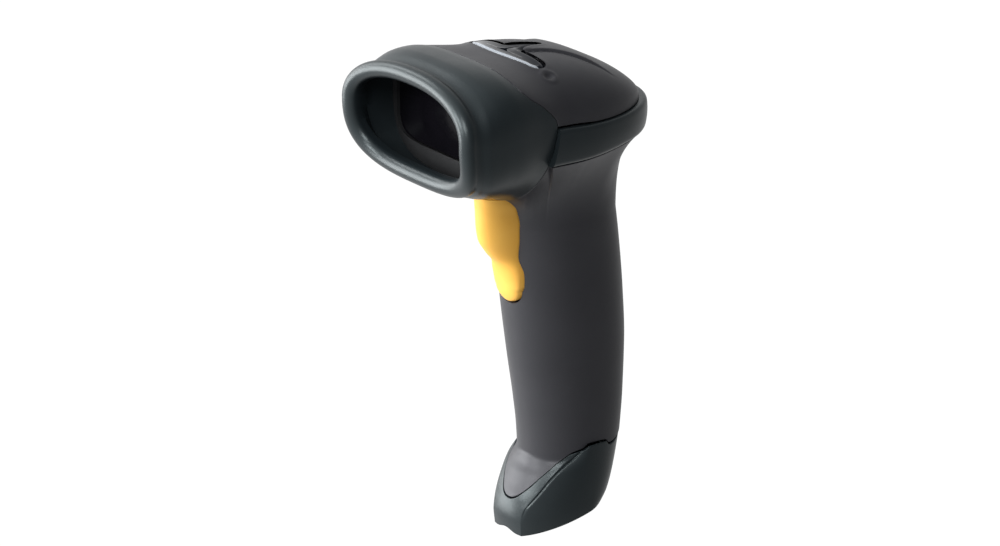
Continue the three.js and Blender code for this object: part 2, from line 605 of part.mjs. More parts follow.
// ---- internals: trigger spring and switch ------------------------------------------------------------------
const HAND_BOARD = { x: 5.2, t: 1.4, y0: -12.5, y1: 10.5, z0: 33, z1: 104 };
function helix(r, wire, y0, y1, turns, x, z) {
  class Coil extends THREE.Curve {
    getPoint(t) {
      const a = t * turns * 2 * PI;
      return new THREE.Vector3(x + r * Math.cos(a), mix(y0, y1, t), z + r * Math.sin(a));
    }
  }
  const ring = new THREE.Shape(range(5, (i) => new THREE.Vector2(wire * Math.cos(deg(72 * i)), wire * Math.sin(deg(72 * i)))));
  return new THREE.ExtrudeGeometry(ring, { steps: turns * 9, extrudePath: new Coil(), bevelEnabled: false });
}
add("trigger_spring", helix(2.0, 0.32, -19.2, -11.6, 5, 0, 99), "steel", 0.9);
// The seat is a cup; at rest the spring's end stands clear of its floor by more than the trigger's travel.
const seatCup = cut(box(8.7, 5.2, 9.4, -0.15, -10.6, 99), rod(3.5, 4.2, "y", 0, -12.0, 99, 20));
add("spring_seat", join(seatCup, box(4.2, 2.2, 3, 2.1, -7.2, 99)), "rubber");
add("switch_body", cut(box(7.4, 6.4, 6.6, 0.6, -9.4, 90.2), rod(1.7, 4.4, "y", 0, -10.9, 90.2, 14)), "chip");
add("switch_plunger", rod(1.3, 3.2, "y", 0, -13.4, 90.2, 14), "trigger");

// ---- boards ------------------------------------------------------------------------------------------------
add("main_board", box(HAND_BOARD.t, 21, 68, HAND_BOARD.x, 0.6, 68), "board");
add("decoder_chip", box(1.2, 11, 11, HAND_BOARD.x - 1.6, 1, 70), "chip");
add("memory_chip", box(1.0, 6, 9, HAND_BOARD.x - 1.5, 2, 56), "chip");
add("beeper", revolve([[0, 0], [5.5, 0], [5.5, 4.6], [1.2, 4.6], [1.2, 3.4], [0, 3.4]], "x", HAND_BOARD.x + 1, 1, 88), "chip");
// A flat cable `width` wide along Y, following points given as [x, z].
function flatCable(points, width, y) {
  const t = 0.35;
  const rows = points.map(([x, z], i) => {
    const [xa, za] = points[Math.max(0, i - 1)];
    const [xb, zb] = points[Math.min(points.length - 1, i + 1)];
    const l = Math.hypot(xb - xa, zb - za);
    const nx = ((zb - za) / l) * t;
    const nz = (-(xb - xa) / l) * t;
    const half = width / 2;
    return [
      [x + nx, y - half, z + nz],
      [x + nx, y + half, z + nz],
      [x - nx, y + half, z - nz],
      [x - nx, y - half, z - nz],
    ];
  });
  return loft(rows);
}
add("engine_ribbon", flatCable([[5.2, 102.6], [5.4, 106], [6.6, 110], [7.4, 114], [7.2, 118.9]], 9, 2), "rubber");
add("inlet_ribbon", flatCable([[0, 26.4], [0.4, 28], [2.4, 29.4], [4.6, 30.8], [5.2, 33.4]], 8, -1), "rubber");

// ---- scan engine -------------------------------------------------------------------------------------------
const EZ = ENGINE_Z;
const trayBase = cut(box(36, 33, 13.6, 0, -17.5, EZ + 6.8), box(33, 31.6, 12.6, 0, -19.4, EZ + 8.1));
const pillars = [-1, 1].map((s) => box(1.8, 6, 10.6, s * 17.1, -22, EZ + 17.9));
const trayHoles = [-1, 1].flatMap((s) => BOSS_Y.map((y) => rod(1.6, 8, "z", s * BOSS_X, y, EZ, 12)));
const tab = box(29.6, 9, 1.8, 0, 2.5, EZ + 0.9);
const shaftHoles = rod(0.95, 8, "z", 6.5, -20.4, EZ, 14);
add("scan_chassis", cut(join(trayBase, tab, ...pillars), ...trayHoles, shaftHoles), "engine", 0.6);
let mount = 0;
for (const s of [-1, 1])
  for (const y of BOSS_Y) {
    mount += 1;
    const ring = [[1.5, 0], [3.0, 0], [3.0, 2.2], [1.5, 2.2], [1.5, 0]];
    add("shock_ring_" + mount, revolve(ring, "z", s * BOSS_X, y, EZ - 2.6, 14), "rubber");
    const screw = [[0, 0], [0.9, 0], [0.9, 8.4], [2.1, 8.4], [2.1, 9.6], [0, 9.6]];
    add("chassis_screw_" + mount, revolve(screw, "z", s * BOSS_X, y, EZ - 6.3, 12), "steel", 0.9);
  }
const laser = join(rod(4.2, 10, "y", -10.5, -9.6, EZ + 7.2, 20), rod(3.2, 3, "y", -10.5, -15.6, EZ + 7.2, 20));
add("laser_module", laser, "brass", 0.8);
const MIRROR = [6.5, -22, EZ + 8];
const mirrorPlate = box(11, 1.1, 8.6, MIRROR[0], MIRROR[1], MIRROR[2]);
const mirrorHub = rod(1.9, 8.6, "z", MIRROR[0], MIRROR[1] + 1.6, MIRROR[2], 16);
const magnetArm = box(3, 6.5, 2.4, MIRROR[0], MIRROR[1] + 4.6, MIRROR[2]);
const shaftBore = rod(0.95, 20, "z", MIRROR[0], MIRROR[1] + 1.6, MIRROR[2], 14);
add("scan_mirror", cut(join(mirrorPlate, mirrorHub, magnetArm), shaftBore), "steel", 0.9);
add("mirror_shaft", rod(0.85, 12.4, "z", MIRROR[0], MIRROR[1] + 1.6, EZ + 7, 14), "steel", 0.9);
add("drive_magnet", box(4.4, 2.2, 4.4, MIRROR[0], MIRROR[1] + 9.15, MIRROR[2]), "steel", 0.9);
const coilBore = rod(1.9, 9, "y", MIRROR[0], -7.4, MIRROR[2], 16);
add("drive_coil", cut(rod(4.6, 3.4, "y", MIRROR[0], -7.4, MIRROR[2], 22), coilBore), "brass", 0.8);
add("collection_mirror", box(9.6, 1.2, 9.4, -4.4, -27.5, EZ + 7.2), "steel", 0.9);
add("sensor_board", box(1.4, 10, 10, -15.4, -24, EZ + 7.4), "board");
add("photodiode", box(1.5, 5, 5, -13.6, -24, EZ + 7.4), "chip");

// ---- exit window -------------------------------------------------------------------------------------------
const winRing = (inset, y, sill = 0, nLow = hoodNB(y)) =>
  range(36, (j) => {
    const t = (j / 36) * 2 * PI;
    const c = hoodC(y);
    const low = c - hoodB(y) - inset - sill;
    const [x, v] = section(t, hoodW(y) - inset, hoodT(y) - c - inset, low, 2.9, nLow, 0);
    return [x, y, c + v];
  });
const gasketOut = [winRing(2.75, WINDOW_Y - 1.6), winRing(2.85, WINDOW_Y + 1.6)];
const gasketIn = [winRing(4.6, WINDOW_Y - 1.6, SILL, 5.5), winRing(4.7, WINDOW_Y + 1.6, SILL, 5.5)];
add("window_gasket", ringShell(gasketOut, gasketIn), "rubber");
add("exit_window", loft([winRing(5.0, WINDOW_Y - 0.75, SILL, 5.5), winRing(5.0, WINDOW_Y + 0.75, SILL, 5.5)]), "glass");

// ---- indicator board under the light pipe ------------------------------------------------------------------
add("led_board", box(36, 8, 1.4, 0, -22, 143.6), "board");
add("scan_led_green", box(2.4, 1.8, 1.1, 7, -22, 145.15), "lens");
add("fault_led_red", box(2.4, 1.8, 1.1, -7, -22, 145.15), "lens");

// ---- boot and cable inlet ----------------------------------------------------------------------------------
const BOOT_ROWS = 7;
const FLOOR = 2.2;
const soleAt = (y) => Math.max(0, SOLE_TILT * (y - TOE_Y));
const bootRow = (f) =>
  range(GRIP_COLS, (j) => {
    const u = gripU(j);
    return bootPoint(mix(soleZ(u), seamZ(u), f), u);
  });
// Inner side of the boot's wall: straight back behind the front facet, toward the middle elsewhere.
const inward = ([x, y, z], u, share) => {
  const k = 1 - smooth(FACET - 0.04, FACET + 0.08, Math.abs(u));
  const q = [x * (1 - 0.14 * share), BOOT_Y0 + (y - BOOT_Y0) * (1 - 0.12 * share)];
  return [mix(q[0], x * (1 - 0.05 * share), k), mix(q[1], y + 2.2 * share, k), z];
};
const bootOut = range(BOOT_ROWS, (i) => bootRow(i / (BOOT_ROWS - 1)));
const bootIn = range(4, (i) =>
  bootRow(i === 0 ? 0.97 : 1 - i * 0.22).map((p, j) => inward(p, gripU(j), i === 0 ? 0.55 : 1)),
);
const bootFloor = bootRow(0.1).map((p, j) => {
  const q = inward(p, gripU(j), 1.15);
  return [q[0], q[1], soleAt(q[1]) + FLOOR];
});
const bootCup = loft([...bootOut, ...bootIn, bootFloor]);
const PORT = { w: 13, d: 9.4 };
const JZ = 9.2; // underside of the jack block
const port = box(PORT.w, PORT.d, 24, 0, JACK.y, 0);
const release = rod(1.1, 12, "y", 0, 17, 15, 12);
add("foot_boot", cut(bootCup, port, release), "hood");
const jackBody = cut(
  box(JACK.w + 2.6, JACK.d + 1.4, JACK.h, 0, JACK.y, JZ + JACK.h / 2),
  box(JACK.w - 0.4, 7.2, 14, 0, JACK.y - 0.4, JZ + 6.9),
  box(6.2, 2.4, 14, 0, JACK.y + 3.8, JZ + 6.9),
);
add("modular_jack", jackBody, "chip");
const pins = range(10, (i) => box(0.5, 0.5, 9.5, -4.59 + i * 1.02, JACK.y - 3.1, JZ + 8.4));
add("jack_contacts", join(box(10.6, 1.0, 0.9, 0, JACK.y - 3.1, JZ + 13.2), ...pins), "brass", 0.8);

export default scanner;
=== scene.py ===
"""Looks of the handheld barcode scanner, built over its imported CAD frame.

The housing is drawn in millimetres with Z = 0 at the toe of the boot, like the CAD. put() brings it to the
row frame, which has its origin in the middle of the grip. +X is the scanner's left side and the window looks
along -Y.
"""

import json
import math

import bmesh
import bpy
import numpy as np
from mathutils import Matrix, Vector
from mathutils.bvhtree import BVHTree


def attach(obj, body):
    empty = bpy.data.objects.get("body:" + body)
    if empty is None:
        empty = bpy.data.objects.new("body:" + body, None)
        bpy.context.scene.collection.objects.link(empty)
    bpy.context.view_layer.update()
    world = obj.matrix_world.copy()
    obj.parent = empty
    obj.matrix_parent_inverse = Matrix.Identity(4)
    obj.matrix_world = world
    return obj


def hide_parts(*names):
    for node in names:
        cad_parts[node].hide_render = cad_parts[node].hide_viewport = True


# ---- driving dimensions, mm ----------------------------------------------------------------------
GRIP_Z = 60.0
WALL = 2.0
GAP = 0.3
LIP_Y, LIP_Z = -57.8, 137.4
LIP_W, LIP_TOP, LIP_LOW = 27.3, 13.2, 17.2
LIP_CURL = 0.0156  # how the lip curls back above and below its middle, per mm
LIP_BOW = 0.95  # how far the lip's left and right ends lie behind its middle
LIP_N = (2.25, 3.25)  # squareness of the mouth above and below its middle
BEAD = 2.5
REAR_Y = 22.0
DOME_W = 26.9
DOME_TOP = 151.8
GROOVE_REAR_Z = 132.6
BUMPER_OUT = (1.3, 2.5)  # how far the bumper stands proud of the cover, at its front ends and at the rear
HANDLE_TOP = 99.0
TOE_Y = -21.6
SOLE_TILT = 0.25
FACET = 0.3
BOOT_Y0 = -1.0
GRIP_N = 2.15


# ---- small maths ---------------------------------------------------------------------------------
def mix(a, b, t):
    return a + (b - a) * t


def smooth(a, b, x):
    t = np.clip((np.asarray(x, float) - a) / (b - a), 0, 1)
    return t * t * (3 - 2 * t)


def sgn_pow(c, e):
    return np.sign(c) * np.abs(c) ** e


def bezier(p0, p1, p2, p3, t):
    """Point at t of the cubic Bezier curve with the given control points."""
    w = 1 - t
    return w**3 * p0 + 3 * w * w * t * p1 + 3 * w * t * t * p2 + t**3 * p3


def curve(xs, ys):
    """A smooth function through the given stations that doesn't overshoot between them."""
    xs, ys = np.array(xs, float), np.array(ys, float)
    h, d = np.diff(xs), np.diff(ys) / np.diff(xs)
    m = np.concatenate([d[:1], np.zeros(len(d) - 1), d[-1:]])
    for i in range(1, len(d)):
        m[i] = 0 if d[i - 1] * d[i] <= 0 else 2 * d[i - 1] * d[i] / (d[i - 1] + d[i])

    def at(x):
        t = np.clip(np.asarray(x, float), xs[0], xs[-1])
        i = np.clip(np.searchsorted(xs, t, side="right") - 1, 0, len(h) - 1)
        u = (t - xs[i]) / h[i]
        return (
            (2 * u**3 - 3 * u**2 + 1) * ys[i]
            + (u**3 - 2 * u**2 + u) * h[i] * m[i]
            + (3 * u**2 - 2 * u**3) * ys[i + 1]
            + (u**3 - u**2) * h[i] * m[i + 1]
        )

    return at


# ---- housing surfaces ----------------------------------------------------------------------------
def section(t, w, up, low, n_up, n_low, taper):
    """Section round the head at angle t: sideways x and height v from the groove line."""
    c, s = np.cos(t), np.sin(t)
    n = np.where(s >= 0, n_up, n_low)
    v = np.where(s >= 0, up, low) * sgn_pow(s, 2 / n)
    return w * sgn_pow(c, 2 / n) * (1 - taper * np.clip(-v / low, 0, 1)), v


HOOD_Y = [-57.1, -50, -40, -30, -20]
hood_w = curve(HOOD_Y, [29.5, 29.9, 29.4, 27.8, 26.4])
hood_c = curve(HOOD_Y, [137.1, 136.9, 136.6, 136.2, 135.4])
hood_t = curve([-57.1, -52, -46, -41, -36, -30, -20], [150.8, 152.1, 153.8, 153.5, 152.6, 152.2, 151.4])
hood_b = curve(HOOD_Y, [118.4, 116.9, 113.8, 109.2, 105])
hood_nb = curve(HOOD_Y, [3.5, 3.7, 3.0, 2.2, 2])
hood_nt = curve(HOOD_Y, [2.15, 2.45, 3.0, 2.8, 2.4])
hood_taper = curve(HOOD_Y, [0.0, 0.02, 0.03, 0, 0])


def hood_point(y, t):
    c = hood_c(y)
    x, v = section(t, hood_w(y), hood_t(y) - c, c - hood_b(y), hood_nt(y), hood_nb(y), hood_taper(y))
    return np.stack([x, y + 0 * x, c + v], -1)


seam_curve = curve(
    [-90, -60, -45, -30, -20, -8, 0, 15, 30, 45, 60, 90],
    [-30.2, -29.4, -28.9, -27.6, -26.3, -25.5, -24.8, -29, -34.3, -36.6, -37.3, -37.7],
)


def seam_y(t):
    return seam_curve(np.degrees(np.arcsin(np.clip(np.sin(t), -1, 1))))


dome_c = curve([-38, -24, -12, 0, 10, REAR_Y], [136.4, 135.6, 134.2, 133.2, 132.8, GROOVE_REAR_Z])


def dome_w(y):
    k = np.clip((y + 30) / (REAR_Y + 30), 0, 1)
    return DOME_W * np.sqrt(1 - k**2.6)


def dome_t(y):
    u = np.clip((y + 26) / (REAR_Y + 26), 0, 1)
    return GROOVE_REAR_Z + (DOME_TOP - GROOVE_REAR_Z) * (1 - u**2.2) ** 0.85


def dome_point(y, t):
    c = dome_c(y)
    x, v = section(t, dome_w(y), np.maximum(0.1, dome_t(y) - c), 1, 2.35, 2, 0)
    k = 1 - smooth(0, 17, y - seam_y(t))
    h = hood_point(np.minimum(y, -20), t)
    return np.stack([mix(x, h[..., 0], k), y + 0 * x, mix(c + v, h[..., 2], k)], -1)


GRIP_Y = [0, 22, 30, 39, 56, 72, 90, 99]
grip_f = curve(GRIP_Y, [-13.8, -14.0, -14.4, -15.5, -18.2, -20.4, -22.4, -23.8])
grip_r = curve([0, 22, 39, 56, 72, 90, 99], [17.2, 18.0, 19.2, 19.6, 18.6, 16.6, 15.2])
grip_w = curve([0, 22, 39, 56, 72, 90, 99], [13, 13.2, 13.8, 14.4, 14.8, 15, 15.3])


def grip_point(z, a):
    """Grip at height z and angle a, where -90 degrees is its front."""
    mid, half = (grip_f(z) + grip_r(z)) / 2, (grip_r(z) - grip_f(z)) / 2
    x = grip_w(z) * sgn_pow(np.cos(a), 2 / GRIP_N)
    return np.stack([x, mid + half * sgn_pow(np.sin(a), 2 / GRIP_N), z + 0 * x], -1)


CREASE_Z = [0, 5, 8.8, 11.8, 15.3, 17.8, 20.1, 22.1, 24.3, 26.5]
boot_xc = curve(CREASE_Z, [6.2, 6.5, 7.1, 8.4, 9.8, 10.6, 11.3, 11.8, 12.8, 13.8])
boot_yc = curve(CREASE_Z, [-21, -21.4, -20.5, -18.6, -15.9, -13.9, -11.6, -8.8, -5.3, -3])
boot_yf = curve([0, 5, 11, 15, 18, 22, 30], [TOE_Y, -22.2, -20.9, -18.8, -17.2, -15, -15.1])
boot_xm = curve([0, 4, 9, 16, 24, 32], [13.2, 14.0, 14.4, 14.6, 14.5, 14.2])
boot_yr = curve([4, 7, 10, 16, 24, 34], [3.8, 9.4, 12.4, 14.9, 17.1, 19.2])


def boot_point(z, u):
    """Boot outline at height z: a bowed facet between two creases in front, round sides and rear."""
    s, a = np.where(np.sign(u) == 0, 1, np.sign(u)), np.abs(u)
    xc, yc, xm = boot_xc(z), boot_yc(z), boot_xm(z)
    t = np.clip(a / FACET, 0, 1)
    half = np.abs(yc - BOOT_Y0) / np.sqrt(1 - (xc / xm) ** 2)
    e = mix(-np.arccos(xc / xm), np.pi / 2, np.clip((a - FACET) / (1 - FACET), 0, 1))
    n = np.where(e > 0, 2.2, 2)
    yy = np.where(e > 0, boot_yr(z) - BOOT_Y0, half)
    facet = a <= FACET
    x = np.where(facet, xc * t, xm * np.abs(np.cos(e)) ** (2 / n))
    y = np.where(facet, mix(boot_yf(z), yc, t**2.2), BOOT_Y0 + yy * sgn_pow(np.sin(e), 2 / n))
    return np.stack([s * x, y, z + 0 * x], -1)


def grip_angle(u, z):
    """Angle round the grip that goes with column u of the boot."""
    s, a = np.where(np.sign(u) == 0, 1, np.sign(u)), np.abs(u)
    even = np.where(a <= FACET, mix(-90, -42, a / FACET), mix(-42, 90, (a - FACET) / (1 - FACET)))
    b = boot_point(np.minimum(z, 27), a)
    mid, half = (grip_f(z) + grip_r(z)) / 2, (grip_r(z) - grip_f(z)) / 2
    e = GRIP_N / 2
    low = np.degrees(np.arctan2(sgn_pow((b[..., 1] - mid) / half, e), np.abs(b[..., 0] / grip_w(z)) ** e))
    side = np.where(a >= 1, 90, np.where(a == 0, -90, mix(low, even, smooth(29, 60, z))))
    return np.radians(np.where(s > 0, side, 180 - side))


def sole_z(u):
    """Height of the sloping sole under the boot's outline at column u."""
    z = np.full_like(u, 2.0)
    for _ in range(14):
        z = mix(z, SOLE_TILT * (boot_point(z, u)[..., 1] - TOE_Y), 0.6)
    return np.maximum(0, z)


boot_top = curve(
    [0, 0.05, 0.107, 0.184, 0.239, 0.27, 0.33, 0.42, 0.52, 0.62, 0.72, 0.85, 1],
    [11, 11.2, 12.1, 15.4, 20.6, 25.2, 26.5, 27.3, 26.9, 25, 25.6, 28.6, 30],
)


def boot_seam(u):
    return boot_top(np.abs(u))


def grip_skin(z, u):
    """The grip's lower end, whose front tongue lies flush in the boot's facet."""
    g = grip_point(z, grip_angle(u, z))
    b = boot_point(np.minimum(z, 26), u)
    k = (1 - smooth(21.3, 24, z)) * (1 - smooth(FACET, FACET + 0.02, np.abs(u)))
    return np.stack([mix(g[..., 0], b[..., 0], k), mix(g[..., 1], b[..., 1], k), z + 0 * k], -1)


SWEEP_FRONT = -24.5  # where the groove starts behind the hood


def rearward(w):
    """0 at the groove's two front ends, 1 in the middle of its rear."""
    return np.where(w <= 0.5, w * 2, 2 - w * 2)


def sweep(w):
    """Groove line under the top cover: w runs from the left seam round the rear to the right."""
    s = np.where(w <= 0.5, 1, -1)
    y = SWEEP_FRONT + (REAR_Y - SWEEP_FRONT) * np.sin(rearward(w) * np.pi / 2)
    return np.stack([s * dome_w(np.minimum(y, REAR_Y)), y, dome_c(y)], -1)


def bumper_h(w):
    """Height of the bumper: a little lower behind than at its front ends."""
    return mix(11.2, 9.4, smooth(0, 0.45, rearward(w)))


def bumper_out(w):
    return mix(*BUMPER_OUT, smooth(0.25, 0.8, rearward(w)))


def bumper_point(w, out, drop):
    """Point `out` from the groove line and `drop` below it."""
    p = sweep(w)
    a, b = sweep(np.maximum(0, w - 0.01)), sweep(np.minimum(1, w + 0.01))
    d = b - a
    length = np.hypot(d[..., 0], d[..., 1])
    lean = (1 - smooth(0, 0.2, rearward(w))) * drop * 0.14
    x = p[..., 0] + d[..., 1] / length * out
    y = p[..., 1] - d[..., 0] / length * out - lean
    return np.stack([x, y, p[..., 2] - drop], -1)


def flare_rim(a):
    """Upper rim of the grip: the throat line under the hood in front, the bumper's lower edge behind."""
    d = np.mod(np.degrees(a) + 90, 360)
    s, f = np.where(d <= 180, 1, -1), np.where(d <= 180, d, 360 - d)
    split = 52  # degrees from the front at which the hood's edge gives way to the bumper's
    t = mix(-90, -22, (np.clip(f, 0, split) / split) ** 0.9)
    p = hood_point(seam_curve(t) + GAP, np.radians(t))
    front = np.stack([s * np.abs(p[..., 0]) * 0.985, p[..., 1] + GAP, p[..., 2]], -1)
    w = 0.5 * (np.clip(f, split, 180) - split) / (180 - split)
    q = bumper_point(w, bumper_out(w) - 1.7, bumper_h(w) + GAP)
    rear = np.stack([s * np.abs(q[..., 0]), q[..., 1], q[..., 2]], -1)
    return np.where((f <= split)[..., None], front, rear)


def flare_point(a, v):
    """Grip above its waist: a concave flare from the top ring out to the rim."""
    p0, p3 = grip_point(HANDLE_TOP + 0 * a, a), flare_rim(a)
    rise = p3[..., 2] - p0[..., 2]
    rear = smooth(12, 50, np.degrees(np.arcsin(np.sin(a))))
    soft = np.mean([flare_rim(a + np.radians(d)) for d in (-24, -16, -8, 0, 8, 16, 24)], axis=0)
    p1, p2 = p0.copy(), mix(p0, soft, mix(0.62, 0.3, rear)[..., None])
    p1[..., 2] += rise * mix(0.42, 0.6, rear)
    p2[..., 2] = soft[..., 2] - rise * mix(0.24, 0.14, rear)
    return bezier(p0, p1, p2, p3, v)


# ---- meshes --------------------------------------------------------------------------------------
MM = 0.001
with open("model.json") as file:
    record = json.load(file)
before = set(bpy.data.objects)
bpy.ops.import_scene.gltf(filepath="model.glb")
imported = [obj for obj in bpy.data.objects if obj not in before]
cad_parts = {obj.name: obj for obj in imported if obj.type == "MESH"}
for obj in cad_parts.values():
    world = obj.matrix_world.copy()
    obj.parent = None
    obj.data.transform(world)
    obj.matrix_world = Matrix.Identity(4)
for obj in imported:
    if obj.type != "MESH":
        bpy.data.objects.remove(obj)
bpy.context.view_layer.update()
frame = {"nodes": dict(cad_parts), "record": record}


def put(points):
    """Housing millimetres to the row frame's metres."""
    q = np.array(points, float).reshape(-1, 3) * MM
    q[:, 2] -= GRIP_Z * MM
    return q


def unit(v):
    return v / np.maximum(np.linalg.norm(v, axis=-1, keepdims=True), 1e-9)


def even_turn(ring, count):
    """Angles that step evenly along the closed curve ring(t)."""
    t = np.linspace(0, 2 * np.pi, 3001)
    along = np.concatenate([[0], np.cumsum(np.linalg.norm(np.diff(ring(t), axis=0), axis=1))])
    return np.interp(np.arange(count) / count * along[-1], along, t)


def outward(rows, wrap, probe):
    """Unit normals of a grid of points, away from the probe point."""
    du = np.gradient(rows, axis=0)
    dv = (np.roll(rows, -1, 1) - np.roll(rows, 1, 1)) / 2 if wrap else np.gradient(rows, axis=1)
    n = unit(np.cross(du, dv))
    middle = rows[len(rows) // 2], n[len(rows) // 2]
    return n if np.mean(np.sum((middle[0] - probe) * middle[1], -1)) > 0 else -n


def quads(count, width, wrap_rows, wrap_cols):
    """Faces of a grid of count rows of width points."""
    i = np.arange(count if wrap_rows else count - 1)[:, None]
    j = np.arange(width if wrap_cols else width - 1)[None, :]
    k, m = (i + 1) % count, (j + 1) % width
    return np.stack([i * width + j, k * width + j, k * width + m, i * width + m], -1).reshape(-1, 4).tolist()


CRISP = 35  # degrees between faces above which an edge stays sharp


def piece(name, points, faces, material, nodes, body="scanner", crisp=CRISP):
    """A closed smooth mesh in the row frame that stands for CAD nodes."""
    mesh = bpy.data.meshes.new(name)
    mesh.from_pydata(put(points).tolist(), [], faces)
    obj = bpy.data.objects.new(name, mesh)
    bpy.context.scene.collection.objects.link(obj)
    clean(obj, crisp)
    mesh.materials.append(material)
    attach(obj, body)
    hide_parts(*nodes)
    return obj


def clean(obj, crisp):
    """Merges coincident points, faces the surface outward and sets which edges stay sharp."""
    bm = bmesh.new()
    bm.from_mesh(obj.data)
    bmesh.ops.remove_doubles(bm, verts=bm.verts, dist=2e-6)
    bmesh.ops.dissolve_degenerate(bm, edges=bm.edges, dist=1e-6)
    if bm.calc_volume(signed=True) < 0:
        bmesh.ops.reverse_faces(bm, faces=bm.faces)
    bm.to_mesh(obj.data)
    bm.free()
    obj.data.shade_smooth()
    obj.data.set_sharp_from_angle(angle=math.radians(crisp))


def rim(rows, normal, i, j, r, steps=6):
    """Rows that roll the grid's edge row i over by radius r; row j is its neighbour."""
    t = unit(rows[i] - rows[j])
    a = np.radians(np.linspace(0, 90, steps))
    n = normal[i]
    return [rows[i] - t * r - n * r + r * (n * math.cos(x) + t * math.sin(x)) for x in a]


def wall(rows, wrap, thick, probe, r_first, r_last):
    """Points and faces of a wall of even thickness with rounded rims, from its outer grid."""
    n = outward(rows, wrap, probe)
    first = rim(rows, n, 0, 1, r_first)[::-1]
    last = rim(rows, n, -1, -2, r_last)
    inner = rows - n * thick
    outer = [*first, *rows[1:-1], *last]
    back = [*[inner[0]] * len(first), *inner[1:-1], *[inner[-1]] * len(last)]
    loop = np.array([*outer, *back[::-1]])
    count, width = loop.shape[:2]
    faces = quads(count, width, True, wrap)
    if not wrap:
        half = len(outer)
        for side in (0, width - 1):
            for i in range(half - 1):
                a, b = i * width + side, (i + 1) * width + side
                c, d = (count - 2 - i) * width + side, (count - 1 - i) * width + side
                faces.append([a, b, c, d] if side == 0 else [d, c, b, a])
    return loop.reshape(-1, 3), faces


def loft(rows):
    """Points and faces of a solid with closed rows and a fan at each end."""
    rows = np.array(rows)
    count, width = rows.shape[:2]
    faces = quads(count, width, False, True)
    points = [*rows.reshape(-1, 3), rows[0].mean(0), rows[-1].mean(0)]
    for end, centre in ((0, count * width), (count - 1, count * width + 1)):
        for j in range(width):
            a, b = end * width + j, end * width + (j + 1) % width
            faces.append([b, a, centre] if end == 0 else [a, b, centre])
    return np.array(points), faces


def carve(obj, cutter):
    """Cuts the closed cutter out of obj and drops the cutter."""
    step = obj.modifiers.new("carve", "BOOLEAN")
    step.operation, step.solver, step.object = "DIFFERENCE", "EXACT", cutter
    bpy.context.view_layer.update()
    made = bpy.data.meshes.new_from_object(obj.evaluated_get(bpy.context.evaluated_depsgraph_get()))
    obj.modifiers.clear()
    material = obj.data.materials[0]
    obj.data = made
    obj.data.materials.clear()
    obj.data.materials.append(material)
    clean(obj, CRISP)
    bpy.data.objects.remove(cutter)


def tool(points, faces):
    """A closed mesh used only to cut."""
    mesh = bpy.data.meshes.new("tool")
    mesh.from_pydata(put(points).tolist(), [], faces)
    obj = bpy.data.objects.new("tool", mesh)
    bpy.context.scene.collection.objects.link(obj)
    clean(obj, CRISP)
    return obj


def depth_of(obj, origin, direction):
    """A function that drops a point, in housing mm, onto obj along an axis and gives the hit, or None."""
    tree = BVHTree.FromObject(obj, bpy.context.evaluated_depsgraph_get())

    def hit(point):
        start = put([np.where(np.isnan(origin), point, origin)])[0]
        found = tree.ray_cast(Vector(start), Vector(direction))[0]
        return None if found is None else np.array(found) / MM + [0, 0, GRIP_Z]

    return hit


# ---- materials -----------------------------------------------------------------------------------
def srgb(r, g, b):
    """A colour given as 8-bit display values, as linear light."""
    c = np.array([r, g, b]) / 255
    return (*np.where(c <= 0.04045, c / 12.92, ((c + 0.055) / 1.055) ** 2.4).tolist(), 1.0)


GRAIN = 0.00035  # size of the spark-eroded grain, m


def moulded(name, dark, light, rough=(0.42, 0.5), relief=0.03, metal=0.0, tone=0.012):
    """Moulded or cast surface: two close tones in soft patches, a fine grain and uneven gloss."""
    m = bpy.data.materials.new(name)
    m.use_nodes = True
    tree = m.node_tree
    shader = tree.nodes["Principled BSDF"]
    place = tree.nodes.new("ShaderNodeTexCoord")

    def noise(scale, detail, low, high):
        n = tree.nodes.new("ShaderNodeTexNoise")
        n.inputs["Scale"].default_value = 1 / scale
        n.inputs["Detail"].default_value = detail
        tree.links.new(place.outputs["Object"], n.inputs["Vector"])
        r = tree.nodes.new("ShaderNodeMapRange")
        r.inputs["From Min"].default_value, r.inputs["From Max"].default_value = 0.35, 0.65
        r.inputs["To Min"].default_value, r.inputs["To Max"].default_value = low, high
        tree.links.new(n.outputs["Fac"], r.inputs["Value"])
        return n, r

    _, patches = noise(tone, 3, 0, 1)
    blend = tree.nodes.new("ShaderNodeMix")
    blend.data_type = "RGBA"
    blend.inputs["A"].default_value, blend.inputs["B"].default_value = dark, light
    tree.links.new(patches.outputs["Result"], blend.inputs["Factor"])
    tree.links.new(blend.outputs["Result"], shader.inputs["Base Color"])
    _, gloss = noise(0.004, 4, rough[0], rough[1])
    tree.links.new(gloss.outputs["Result"], shader.inputs["Roughness"])
    fine, _ = noise(GRAIN, 2, 0, 1)
    bump = tree.nodes.new("ShaderNodeBump")
    bump.inputs["Strength"].default_value = relief
    bump.inputs["Distance"].default_value = GRAIN * 0.5
    tree.links.new(fine.outputs["Fac"], bump.inputs["Height"])
    tree.links.new(bump.outputs["Normal"], shader.inputs["Normal"])
    shader.inputs["Metallic"].default_value = metal
    return m


def set_socket(material, name, value):
    material.node_tree.nodes["Principled BSDF"].inputs[name].default_value = value


